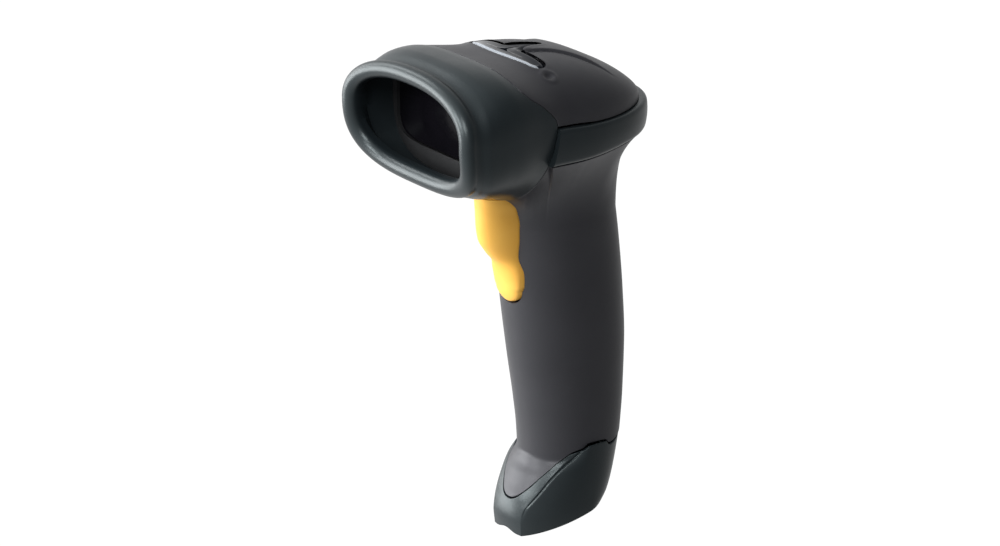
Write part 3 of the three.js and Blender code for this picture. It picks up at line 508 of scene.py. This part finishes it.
HOOD_PLASTIC = moulded("hood_plastic", srgb(26, 32, 35), srgb(30, 36, 39), (0.34, 0.36), relief=0.16)
set_socket(HOOD_PLASTIC, "Specular Tint", (0.89, 1.0, 1.02, 1))
GRIP_PLASTIC = moulded("grip_plastic", srgb(40, 40, 44), srgb(43, 43, 47), (0.42, 0.44), relief=0.12)
set_socket(GRIP_PLASTIC, "Specular Tint", (0.95, 0.97, 1.02, 1))
TRIGGER_YELLOW = srgb(245, 184, 78), srgb(248, 190, 86)
TRIGGER_PLASTIC = moulded("trigger_plastic", *TRIGGER_YELLOW, (0.46, 0.48), relief=0.08)
set_socket(TRIGGER_PLASTIC, "Specular IOR Level", 0.3)
LENS_PLASTIC = moulded("lens_plastic", srgb(14, 18, 24), srgb(20, 24, 30), (0.05, 0.09), relief=0.0)
WINDOW_GLASS = moulded("window_glass", srgb(10, 10, 13), srgb(14, 13, 17), (0.06, 0.12), relief=0.0)
set_socket(WINDOW_GLASS, "IOR", 1.16)
RUBBER = moulded("rubber", srgb(20, 21, 23), srgb(27, 28, 30), (0.6, 0.75), relief=0.2)
STEEL = moulded("steel", srgb(168, 171, 175), srgb(188, 191, 194), (0.22, 0.34), relief=0.1, metal=1.0)
BOARD = moulded("board", srgb(20, 70, 42), srgb(28, 84, 50), (0.4, 0.55), tone=0.003)
CHIP = moulded("chip", srgb(22, 22, 24), srgb(30, 30, 32), (0.5, 0.6), relief=0.2)
BRASS = moulded("brass", srgb(184, 140, 62), srgb(202, 160, 82), (0.25, 0.38), metal=1.0)
CAST_GREY = srgb(120, 124, 128), srgb(138, 142, 146)
ENGINE_METAL = moulded("engine_metal", *CAST_GREY, (0.35, 0.5), relief=0.3, metal=1.0)
SILVERED = srgb(205, 208, 212), srgb(216, 219, 222)
MIRROR_COAT = moulded("mirror_coat", *SILVERED, (0.03, 0.06), relief=0.0, metal=1.0)
LED_GREEN = moulded("led_green", srgb(60, 130, 70), srgb(84, 160, 92), (0.12, 0.2), relief=0.0)
LED_RED = moulded("led_red", srgb(150, 36, 30), srgb(176, 50, 42), (0.12, 0.2), relief=0.0)
FINISHES = {
    "hood_plastic": HOOD_PLASTIC,
    "grip_plastic": GRIP_PLASTIC,
    "trigger_plastic": TRIGGER_PLASTIC,
    "lens_plastic": LENS_PLASTIC,
    "window_glass": WINDOW_GLASS,
    "rubber": RUBBER,
    "steel": STEEL,
    "board": BOARD,
    "chip": CHIP,
    "brass": BRASS,
    "engine_metal": ENGINE_METAL,
    "mirror_coat": MIRROR_COAT,
    "led_green": LED_GREEN,
    "led_red": LED_RED,
}


# ---- nose hood -----------------------------------------------------------------------------------
SEAM_GAP = 0.28  # visible gap between neighbouring shells
CREASE = 0.45  # depth of the crease behind the bead
SHOULDER = 6.5  # how far behind the lip the hood is back at its full size
HOOD_TONGUE = ((0, 0.3), (1.4, 0.3), (1.5, 0.4), (1.5, 1.1))  # reach past the seam and depth below the wall


def lip_ring(t, out, back):
    """Ring round the mouth, `out` from the bead's crest line and `back` behind the lip plane."""
    x, v = section(t, LIP_W + out, LIP_TOP + out, LIP_LOW + out, *LIP_N, 0)
    return np.stack([x, lip_y(t) + back, LIP_Z + v], -1)


def lip_y(t):
    """Where the lip's crest lies along Y: it bulges forward in the middle and curls back above and below."""
    x, v = section(t, LIP_W, LIP_TOP, LIP_LOW, *LIP_N, 0)
    return LIP_Y + LIP_CURL * v * v + LIP_BOW * (x / LIP_W) ** 2


def hood_in(y, t, d):
    """The hood's surface moved inward by d."""
    c = hood_c(y)
    up, low = hood_t(y) - c - d, c - hood_b(y) - d
    x, v = section(t, hood_w(y) - d, up, low, hood_nt(y), hood_nb(y), hood_taper(y))
    return np.stack([x, y + 0 * x, c + v], -1)


def nose_hood():
    t = even_turn(lambda a: hood_point(-50.0 + 0 * a, a), 300)
    turn = np.radians(np.linspace(-184, 18, 32))
    bead = [lip_ring(t, -0.2 + BEAD * math.cos(a), BEAD * math.sin(a)) for a in turn]
    lip = lip_y(t)
    p0, p3 = bead[-1], hood_in(lip + 3.0, t, CREASE)
    p1, p2 = p0 + (p0 - bead[-2]) * 2.2, hood_in(lip + 2.2, t, CREASE)
    foot = [bezier(p0, p1, p2, p3, k) for k in np.linspace(0.12, 1, 9)]
    steps = np.linspace(0.1, 1, 14)
    shoulder = [hood_in(lip + mix(3.0, SHOULDER, k), t, CREASE * (1 - smooth(0, 1, k))) for k in steps]
    start = lip + SHOULDER
    end = seam_y(t) - SEAM_GAP / 2
    body = np.array([hood_point(mix(start, end, f), t) for f in np.linspace(0, 1, 46)])
    n = outward(body, True, np.array([0, -45, 136.0]))
    edge = rim(body, n, -1, -2, 0.25)
    inside = [body[-1] - n[-1] * WALL]
    inside += [hood_in(end + back, t, WALL + d) for back, d in HOOD_TONGUE]
    inside += [hood_in(mix(end, lip + 5.5, f), t, WALL + 0.8) for f in np.linspace(0.1, 1, 10)]
    step = [lip_ring(t, -2.5, 2.2)]
    rows = np.array([*bead, *foot, *shoulder, *body[1:-1], *edge, *inside, *step])
    faces = quads(*rows.shape[:2], True, True)
    return piece("nose_hood_shell", rows.reshape(-1, 3), faces, HOOD_PLASTIC, ["nose_hood"])


# ---- light pipe and top cover --------------------------------------------------------------------
# The light pipe in plan: a bar that reaches `tip` each way, its front swept back by `sweep` at the ends, with
# a pointed tail that stands in a shallow notch of its rear edge.
LENS = {"front": -26.6, "sweep": 2.5, "back": -18.9, "notch": 1.2, "tail": 9.4, "tip": 12.4}


def lens_front(x):
    return LENS["front"] + LENS["sweep"] * (x / LENS["tip"]) ** 2


def lens_back(x):
    notch = LENS["notch"] * np.exp(-((x / 4.6) ** 2))
    tail = (LENS["tail"] + LENS["notch"]) * np.exp(-((x / 1.9) ** 2))
    return LENS["back"] - notch + tail


def lens_outline(grow, count=400):
    """The light pipe's plan outline, spread by grow, as evenly spaced points (x, y)."""
    tip = LENS["tip"]
    x = np.linspace(-tip, tip, 241)
    front = np.stack([x, lens_front(x)], -1)
    end, r = (lens_front(tip) + lens_back(tip)) / 2, (lens_back(tip) - lens_front(tip)) / 2
    a = np.radians(np.linspace(-88, 88, 40))
    right = np.stack([tip + r * np.cos(a), end + r * np.sin(a)], -1)
    back = np.stack([x[::-1], lens_back(x[::-1])], -1)
    left = right[::-1] * [-1, 1]
    line = np.concatenate([front, right, back, left])
    line = np.concatenate([line, line[:1]])
    along = np.concatenate([[0], np.cumsum(np.linalg.norm(np.diff(line, axis=0), axis=1))])
    s = np.arange(count) / count * along[-1]
    p = np.stack([np.interp(s, along, line[:, 0]), np.interp(s, along, line[:, 1])], -1)
    d = unit(np.roll(p, -1, 0) - np.roll(p, 1, 0))
    return p + np.stack([d[:, 1], -d[:, 0]], -1) * grow


OUTLINE = lens_outline(0.0)


def paint_front_bevel_highlight(m):
    """Paints a pale highlight into the base colour along the light pipe's front bevel."""
    tree = m.node_tree
    shader = tree.nodes["Principled BSDF"]
    base = shader.inputs["Base Color"].links[0].from_socket

    def math_node(kind, a, b):
        n = tree.nodes.new("ShaderNodeMath")
        n.operation = kind
        for socket, value in zip(n.inputs, (a, b)):
            if isinstance(value, float):
                socket.default_value = value
            else:
                tree.links.new(value, socket)
        return n.outputs[0]

    axes = tree.nodes.new("ShaderNodeSeparateXYZ")
    tree.links.new(tree.nodes.new("ShaderNodeTexCoord").outputs["Object"], axes.inputs[0])
    across = math_node("MULTIPLY", axes.outputs["X"], 1000 / LENS["tip"])
    bow = math_node("MULTIPLY", math_node("MULTIPLY", across, across), LENS["sweep"] * MM)
    behind = math_node("SUBTRACT", math_node("SUBTRACT", axes.outputs["Y"], LENS["front"] * MM), bow)
    fade = tree.nodes.new("ShaderNodeMapRange")
    fade.inputs["From Min"].default_value, fade.inputs["From Max"].default_value = 0.9 * MM, 1.25 * MM
    fade.inputs["To Min"].default_value, fade.inputs["To Max"].default_value = 1.0, 0.0
    tree.links.new(behind, fade.inputs["Value"])
    pale = tree.nodes.new("ShaderNodeMix")
    pale.data_type = "RGBA"
    # pale colour of the painted highlight on the front bevel
    pale.inputs["B"].default_value = srgb(158, 164, 171)
    tree.links.new(fade.outputs["Result"], pale.inputs["Factor"])
    tree.links.new(base, pale.inputs["A"])
    tree.links.new(pale.outputs["Result"], shader.inputs["Base Color"])
    shader.inputs["IOR"].default_value = 1.32


def to_lens(x, y):
    """Distance in plan to the light pipe's outline, negative inside it."""
    q = np.stack([x, y], -1).reshape(-1, 1, 2)
    d = np.concatenate([np.linalg.norm(part - OUTLINE, axis=-1).min(1) for part in np.array_split(q, 40)])
    ax = np.abs(x).ravel()
    yy = y.ravel()
    inside = (yy > lens_front(ax)) & (yy < lens_back(ax)) & (ax < LENS["tip"])
    return np.where(inside, -d, d).reshape(x.shape)


band_half = curve([-19, -16, -11.9, -7.7, -3.4, 4], [4.4, 4.9, 5.5, 7, 9.9, 16])
DIMPLE_X, DIMPLE_Y = 18.6, -21.4


def cover_relief(p):
    """Height of the top cover's raised details above its plain dome."""
    x, y = p[..., 0], p[..., 1]
    ax = np.abs(x)
    d = to_lens(x, y)
    collar = 0.12 * (1 - smooth(0.3, 4.6, d)) * smooth(7, 13, ax)
    lip = 0.1 * np.exp(-((d - 0.9) / 0.7) ** 2)
    dx, dy = ax - DIMPLE_X, y - DIMPLE_Y
    dimple = -0.5 * np.exp(-((dx / 0.8) ** 2 + (dy / 1.4) ** 2) ** 1.5)
    border = 0.2 * np.exp(-((np.sqrt((dx / 1.15) ** 2 + (dy / 1.25) ** 2) - 1.7) / 0.55) ** 2)
    fade = smooth(-20, -17.5, y) * (1 - smooth(-4, 7, y))
    band = 0.55 * (1 - smooth(-0.35, 0.35, ax - band_half(y))) * fade
    valley = -0.25 * np.exp(-((ax - band_half(y) - 0.5) / 0.7) ** 2) * fade
    return collar + lip + dimple + border + band + valley


# Flare, height above the surface and depth below it of the rings that cut the light pipe's seat.
SEAT_RINGS = ((1.1, 3, 0), (0.75, 0.12, 0), (0.42, 0, 0.1), (0.25, 0, 0.32), (0.2, 0, 0.6), (0.2, 0, 8))


def top_cover():
    """Domed shell with its raised details and the opening for the light pipe."""
    t = mix(math.radians(0.6), math.pi - math.radians(0.6), np.linspace(0, 1, 241))
    f = np.sin(np.linspace(0, 1, 190) * np.pi / 2)
    rows = np.array([dome_point(mix(seam_y(t) + SEAM_GAP / 2, REAR_Y - 0.15, k), t) for k in f])
    n = outward(rows, False, np.array([0, -10, 130.0]))
    rows = rows + n * cover_relief(rows)[..., None]
    points, faces = wall(rows, False, WALL, np.array([0, -10, 130.0]), 0.25, 0.1)
    cover = piece("top_cover_shell", points, faces, GRIP_PLASTIC, ["top_cover"])
    onto = depth_of(cover, np.array([np.nan, np.nan, 190.0]), (0, 0, -1))
    rings = []
    for grow, over, down in SEAT_RINGS:
        line = lens_outline(grow, 300)
        z = [onto(np.array([x, y, 0]))[2] + over - down for x, y in line]
        rings.append(np.column_stack([line, z]))
    carve(cover, tool(*loft(rings)))
    return cover


# How far in from the outline, and how high above the dome, the rings of the light pipe's top lie.
PIPE_EDGE = (0.05, -0.35), (0.1, -0.2), (0.3, 0.1), (0.36, 0.16), (0.42, 0.14)
PIPE_TOP = (*PIPE_EDGE, (0.6, 0.05), (0.8, 0.0), (1, 0.0))


def light_pipe():
    """Glossy insert: steep bevels, a flat crown that falls toward its rear edge and a pointed tail."""
    line = lens_outline(0.0, 300)
    core = np.stack([line[:, 0] * 0.86, mix(lens_front(np.abs(line[:, 0] * 0.86)), -21.4, 0.62)], -1)
    tail = line[:, 1] > -18.6
    core[tail, 1] = np.minimum(line[tail, 1] - 1.0, np.maximum(core[tail, 1], line[tail, 1] - 3.5))
    core[:, 0] = np.where(tail, core[:, 0] * 0.2, core[:, 0])

    def lie(p, h):
        a = np.arccos(np.clip(p[:, 0] / 27.5, -1, 1))
        for _ in range(30):
            q = dome_point(p[:, 1], a)
            a = a + (q[:, 0] - p[:, 0]) / 27.5
        return np.column_stack([p, dome_point(p[:, 1], a)[:, 2] + h])

    rings = [lie(line * [0.995, 1], -2.4), lie(line, -2.0), lie(line, -0.45)]
    for k, h in PIPE_TOP:
        rings.append(lie(mix(line, core, k), h))
    points, faces = loft(rings)
    plastic = moulded("light_pipe_plastic", srgb(14, 18, 26), srgb(20, 24, 32), (0.07, 0.11), relief=0.0)
    # painted highlight along the light pipe's front bevel
    paint_front_bevel_highlight(plastic)
    return piece("light_pipe", points, faces, plastic, ["led_lens"], crisp=24)


# ---- rear bumper ---------------------------------------------------------------------------------
def rounded(corners, radius, steps=6):
    """A closed outline with its corners rounded."""
    out = []
    count = len(corners)
    for i, c in enumerate(corners):
        before, after = np.array(corners[i - 1]), np.array(corners[(i + 1) % count])
        c = np.array(c, float)
        r = radius[i]
        a = c + unit(before - c) * min(r, np.linalg.norm(before - c) * 0.49)
        b = c + unit(after - c) * min(r, np.linalg.norm(after - c) * 0.49)
        for k in np.linspace(0, 1, steps):
            out.append((1 - k) ** 2 * a + 2 * k * (1 - k) * c + k * k * b)
    return np.array(out)


def rear_bumper():
    """Rounded skirt below the groove; its inner part is a ledge that closes the view into the groove."""
    rows = []
    for w in np.linspace(0.0008, 0.9992, 220):
        h, far = float(bumper_h(w)), float(bumper_out(w))
        outline = rounded(
            [
                (-2.5, 0.15),
                (-0.2, 0.15),
                (far - 0.1, 0.2),
                (far + 0.25, h * 0.5),
                (far - 0.5, h - 0.1),
                (-2.2, h - 0.1),
                (-2.5, 1.8),
            ],
            [0.3, 0.2, 1.6, 4, 1.6, 0.3, 0.3],
        )
        ring = np.array([bumper_point(np.float64(w), o, d) for o, d in outline])
        end = 1 - smooth(0, 0.06, 1 - abs(2 * w - 1))
        ring[:, 1] -= end * (0.15 + 0.06 * outline[:, 1])
        rows.append(ring)
    points, faces = loft(rows)
    return piece("rear_bumper_skirt", points, faces, HOOD_PLASTIC, ["rear_bumper"])


# ---- grip ----------------------------------------------------------------------------------------
def round_columns(count):
    """Columns round the grip and the boot, closer together near the creases beside the front facet."""
    fine = np.linspace(-1, 1, 4001)[:-1]
    weight = 1 + 5 * np.exp(-(((np.abs(fine) - FACET) / 0.02) ** 2)) + 0.8 * (np.abs(fine) < FACET)
    total = np.concatenate([[0], np.cumsum(weight)])
    return np.interp(np.arange(count) / count * total[-1], total, np.append(fine, 1.0))


trig_half = curve(
    [72, 76, 78, 80, 84, 89, 95, 100, 103.5, 107, 112],
    [0.5, 2.9, 4.6, 5.6, 5.9, 4.7, 5.7, 6.3, 6.6, 7.2, 6.4],
)


SLOT_LOW, SLOT_TOP = 74.0, 118.0  # heights between which the handle opens for the trigger
SLOT_ROUND = 4.4  # height of the opening's round end
# Flare, reach in front of the surface and depth behind it of the rings that cut the opening.
SLOT_RINGS = ((0.7, 8, 0), (0.6, 0.1, 0), (0.45, 0, 0.08), (0.34, 0, 0.25), (0.3, 0, 0.6), (0.3, 0, 12))


def slot_outline(grow):
    """The trigger's opening in the XZ plane, spread by grow, round at the bottom."""
    bottom = SLOT_LOW + SLOT_ROUND * (1 - np.cos(np.radians(np.linspace(0, 90, 16))))
    z = np.concatenate([bottom, np.linspace(SLOT_LOW + SLOT_ROUND + 0.5, SLOT_TOP, 60)])
    half = np.array(trig_half(z))
    half[:16] = trig_half(SLOT_LOW + SLOT_ROUND) * np.sin(np.arccos(1 - (bottom - SLOT_LOW) / SLOT_ROUND))
    side = np.stack([half, z], -1)
    line = np.concatenate([side[1:], side[::-1] * [-1, 1]])
    d = unit(np.roll(line, -1, 0) - np.roll(line, 1, 0))
    return line + np.stack([d[:, 1], -d[:, 0]], -1) * grow


def handle_shell():
    """One-piece grip with a tongue into the boot, a flare under the head and the slot for the trigger."""
    u = round_columns(300)
    a = grip_angle(u, HANDLE_TOP + 0 * u)
    low = boot_seam(u) + SEAM_GAP
    rows = [grip_skin(mix(low, 31.0, f), u) for f in np.linspace(0, 0.97, 44)]
    rows += [grip_point(z + 0 * u, grip_angle(u, z + 0 * u)) for z in np.linspace(31, HANDLE_TOP, 90)]
    rows += [flare_point(a, v) for v in np.linspace(0.015, 1, 56)]
    rows = np.array(rows)
    points, faces = wall(rows, True, 1.7, np.array([0, 0, 75.0]), 0.25, 0.2)
    handle = piece("handle_grip", points, faces, GRIP_PLASTIC, ["handle_shell"])
    onto = depth_of(handle, np.array([np.nan, -80.0, np.nan]), (0, 1, 0))
    rings = []
    for grow, over, into in SLOT_RINGS:
        line = slot_outline(grow)
        ring = []
        for x, z in line:
            found = onto(np.array([x, 0, min(z, 104.0)]))
            ring.append([x, found[1] - over + into, z])
        rings.append(ring)
    carve(handle, tool(*loft(rings)))
    return handle


# ---- boot ----------------------------------------------------------------------------------------
PORT_W, PORT_D, PORT_Y = 13.0, 9.4, -2.6
PORT_N = 12  # squareness of the port's outline
FLOOR = 2.2  # thickness of the boot's floor


def boot():
    """Cup with a round heel, a bowed facet in front and the cable port through its floor."""
    u = round_columns(300)
    arch = 1.5 * np.exp(-((u / 0.16) ** 2))
    foot, top = sole_z(u) + arch, boot_seam(u) - SEAM_GAP / 2
    rows = np.array([boot_point(mix(foot, top, f), u) for f in np.linspace(0, 1, 70)])
    n = outward(rows, True, np.array([0, BOOT_Y0, 15.0]))
    crease = 0.45 * np.exp(-(((np.abs(u) - FACET) / 0.008) ** 2)) * smooth(4, 14, rows[..., 2])
    rows = rows - n * crease[..., None]
    edge = rim(rows, n, -1, -2, 0.3)
    sole_edge = rim(rows, n, 0, 1, 0.6)[::-1]
    lean = 1 - smooth(FACET - 0.04, FACET + 0.08, np.abs(u))

    def sole(p, above):
        return np.column_stack([p[:, :2], np.maximum(0.05, SOLE_TILT * (p[:, 1] - TOE_Y)) + above])

    def inward(p, share):
        q = p.copy()
        q[:, 0] = mix(p[:, 0] * (1 - 0.14 * share), p[:, 0] * (1 - 0.05 * share), lean)
        q[:, 1] = mix(BOOT_Y0 + (p[:, 1] - BOOT_Y0) * (1 - 0.12 * share), p[:, 1] + 2.2 * share, lean)
        return q

    turn = np.arctan2(rows[12, :, 1] - PORT_Y, rows[12, :, 0])
    across, along = np.abs(np.cos(turn)) * 2 / PORT_W, np.abs(np.sin(turn)) * 2 / PORT_D
    reach = (across**PORT_N + along**PORT_N) ** (-1 / PORT_N)
    port = np.column_stack([reach * np.cos(turn), PORT_Y + reach * np.sin(turn), 0 * turn])
    inside = [inward(rows[-1] - [0, 0, 0.3], 0.5)]
    inside += [inward(rows[int(round(k))], 1.0) for k in np.linspace(66, 10, 8)]
    floor = inward(rows[6], 1.15)
    bottom = [sole(mix(sole_edge[0], port, k), 0.0) for k in (0.12, 0.5)]
    mouth = [sole(port + (port - [0, PORT_Y, 0]) * 0.07, 0.0), sole(port, 0.5), sole(port, FLOOR - 0.05)]
    loop = [*bottom, *mouth, sole(mix(port, floor, 0.5), FLOOR), sole(floor, FLOOR)]
    loop = np.array([*sole_edge, *rows[1:-1], *edge, *inside, *loop[::-1]])
    faces = quads(*loop.shape[:2], True, True)
    return piece("boot_cup", loop.reshape(-1, 3), faces, HOOD_PLASTIC, ["foot_boot"])


# ---- trigger -------------------------------------------------------------------------------------
trig_front = curve(
    [74, 78, 81, 87, 91, 95.5, 100, 108, 113],
    [-22.2, -23.0, -23.5, -25.4, -28.6, -31.2, -31.8, -32.0, -32.1],
)
trig_back = curve([74, 90, 108, 113], [-19.6, -20.2, -19.6, -19.4])


SKIRT_Y = -17.2  # the lever's side walls reach this far back into the slot
TIP_Z, TIP_ROUND = 74.3, 4.2  # bottom of the lever and the height over which it rounds off
LEVER_TOP = 108.8


def trigger():
    """Finger lever: crowned front, rounded lower tip, flat sides inside the slot, a tab behind the hood."""
    rows = []
    a = np.linspace(0, 2 * np.pi, 160, endpoint=False)
    c, s = np.cos(a), np.sin(a)
    low = TIP_Z + TIP_ROUND * (1 - np.cos(np.radians(np.linspace(4, 90, 22))))
    for z in [*low, *np.linspace(TIP_Z + TIP_ROUND + 0.4, LEVER_TOP, 70)]:
        k = math.sqrt(max(0.0, 1 - max(0.0, 1 - (z - TIP_Z) / TIP_ROUND) ** 2))
        h = float(trig_half(max(z, TIP_Z + TIP_ROUND))) * k
        yb = float(trig_back(z))
        yf = mix(yb - 1.0, float(trig_front(max(z, TIP_Z + 1.6))), k)
        mid = yb - 1.2 * k
        x = h * sgn_pow(c, np.where(s < 0, 0.88, 0.35))
        skirt = mix(yb, SKIRT_Y, smooth(h - 2.6, h - 1.2, np.abs(x)) * smooth(1.2, 3.0, h))
        y = np.where(s < 0, mid + (mid - yf) * s, mid + (skirt - mid) * sgn_pow(s, 0.35))
        rows.append(np.stack([x, y, z + 0 * x], -1))
    top = rows[-1]
    for z in (109.0, 110.0, 110.8):
        rows.append(np.column_stack([top[:, 0] * 0.86, np.clip(top[:, 1], -29.5, -24.6), 0 * a + z]))
    points, faces = loft(rows)
    return piece("trigger_lever", points, faces, TRIGGER_PLASTIC, ["trigger"], "trigger")


nose_hood()
top_cover()
light_pipe()
rear_bumper()
handle_shell()
boot()
trigger()

# ---- finishes of the CAD nodes -------------------------------------------------------------------
for part in frame["record"]["subparts"]:
    mesh = frame["nodes"][part["node"]].data
    mesh.materials.clear()
    mesh.materials.append(FINISHES[part["material_slot"]])

# ---- floor, light and camera ---------------------------------------------------------------------
CAMERA_AZIMUTH, CAMERA_ELEVATION = math.radians(51.4745), math.radians(21.7737)
CAMERA_PLACE = (0.754491, -0.624746, 0.408961)
FLOOR_Z = -0.5


def emission(name, colour, strength):
    m = bpy.data.materials.new(name)
    m.use_nodes = True
    tree = m.node_tree
    tree.nodes.clear()
    out, glow = tree.nodes.new("ShaderNodeOutputMaterial"), tree.nodes.new("ShaderNodeEmission")
    glow.inputs["Color"].default_value = (*colour, 1)
    glow.inputs["Strength"].default_value = strength
    tree.links.new(glow.outputs["Emission"], out.inputs["Surface"])
    return m


FLOOR_HALF = 30.0
floor_mesh = bpy.data.meshes.new("floor")
corners = [(x * FLOOR_HALF, y * FLOOR_HALF, FLOOR_Z) for x, y in ((-1, -1), (1, -1), (1, 1), (-1, 1))]
floor_mesh.from_pydata(corners, [], [[0, 1, 2, 3]])
floor = bpy.data.objects.new("floor", floor_mesh)
floor_mesh.materials.append(emission("studio_white", (1, 1, 1), 1.05))
floor.visible_diffuse = False
floor.visible_glossy = False
bpy.context.scene.collection.objects.link(floor)

world = bpy.data.worlds.new("studio")
bpy.context.scene.world = world
world.use_nodes = True
sky = world.node_tree
sky.nodes.clear()
sky_out = sky.nodes.new("ShaderNodeOutputWorld")
seen, lit = sky.nodes.new("ShaderNodeBackground"), sky.nodes.new("ShaderNodeBackground")
seen.inputs["Strength"].default_value = 1.05
path, either = sky.nodes.new("ShaderNodeLightPath"), sky.nodes.new("ShaderNodeMixShader")
where, toward = sky.nodes.new("ShaderNodeTexCoord"), sky.nodes.new("ShaderNodeVectorMath")
span = sky.nodes.new("ShaderNodeMapRange")
toward.operation = "DOT_PRODUCT"
toward.inputs[1].default_value = Vector((-0.8, -0.5, -0.3)).normalized()
sky.links.new(where.outputs["Generated"], toward.inputs[0])
sky.links.new(toward.outputs["Value"], span.inputs["Value"])
span.inputs["From Min"].default_value, span.inputs["From Max"].default_value = -0.9, 0.6
span.inputs["To Min"].default_value, span.inputs["To Max"].default_value = 0.15, 1.3
sky.links.new(span.outputs["Result"], lit.inputs["Strength"])
sky.links.new(path.outputs["Is Camera Ray"], either.inputs["Fac"])
sky.links.new(lit.outputs["Background"], either.inputs[1])
sky.links.new(seen.outputs["Background"], either.inputs[2])
sky.links.new(either.outputs["Shader"], sky_out.inputs["Surface"])


def softbox(name, place, aim, size, power):
    """A rectangular area light at place that faces aim."""
    lamp = bpy.data.lights.new(name, "AREA")
    lamp.shape, lamp.size, lamp.size_y, lamp.energy = "RECTANGLE", size[0], size[1], power
    obj = bpy.data.objects.new(name, lamp)
    obj.location = place
    obj.rotation_mode = "QUATERNION"
    obj.rotation_quaternion = (Vector(aim) - Vector(place)).to_track_quat("-Z", "Y")
    bpy.context.scene.collection.objects.link(obj)
    return obj


softbox("key", (-0.86, -0.78, 0.08), (0, 0, 0.03), (0.6, 0.7), 11.5)
softbox("edge", (-1.15, -0.3, 0.3), (0, 0, 0.03), (0.4, 0.9), 4)
softbox("top_left", (-0.85, -0.35, 0.85), (0, 0, 0.05), (0.4, 0.35), 3)
softbox("front", (-0.25, -1.1, 0.5), (0, 0, 0.05), (0.4, 0.36), 7)
softbox("fill", (0.55, -0.85, 0.85), (0, 0, 0.05), (0.5, 0.5), 9)

camera = bpy.data.objects.new("camera", bpy.data.cameras.new("camera"))
camera.data.sensor_width = 36
camera.data.lens = 3.58 * camera.data.sensor_width
camera.data.clip_start, camera.data.clip_end = 0.05, 100
back = Vector(
    (
        math.sin(CAMERA_AZIMUTH) * math.cos(CAMERA_ELEVATION),
        -math.cos(CAMERA_AZIMUTH) * math.cos(CAMERA_ELEVATION),
        math.sin(CAMERA_ELEVATION),
    )
)
camera.location = CAMERA_PLACE
camera.rotation_mode = "QUATERNION"
camera.rotation_quaternion = (-back).to_track_quat("-Z", "Y")
bpy.context.scene.collection.objects.link(camera)
bpy.context.scene.camera = camera

bpy.context.scene.view_settings.view_transform = "Standard"
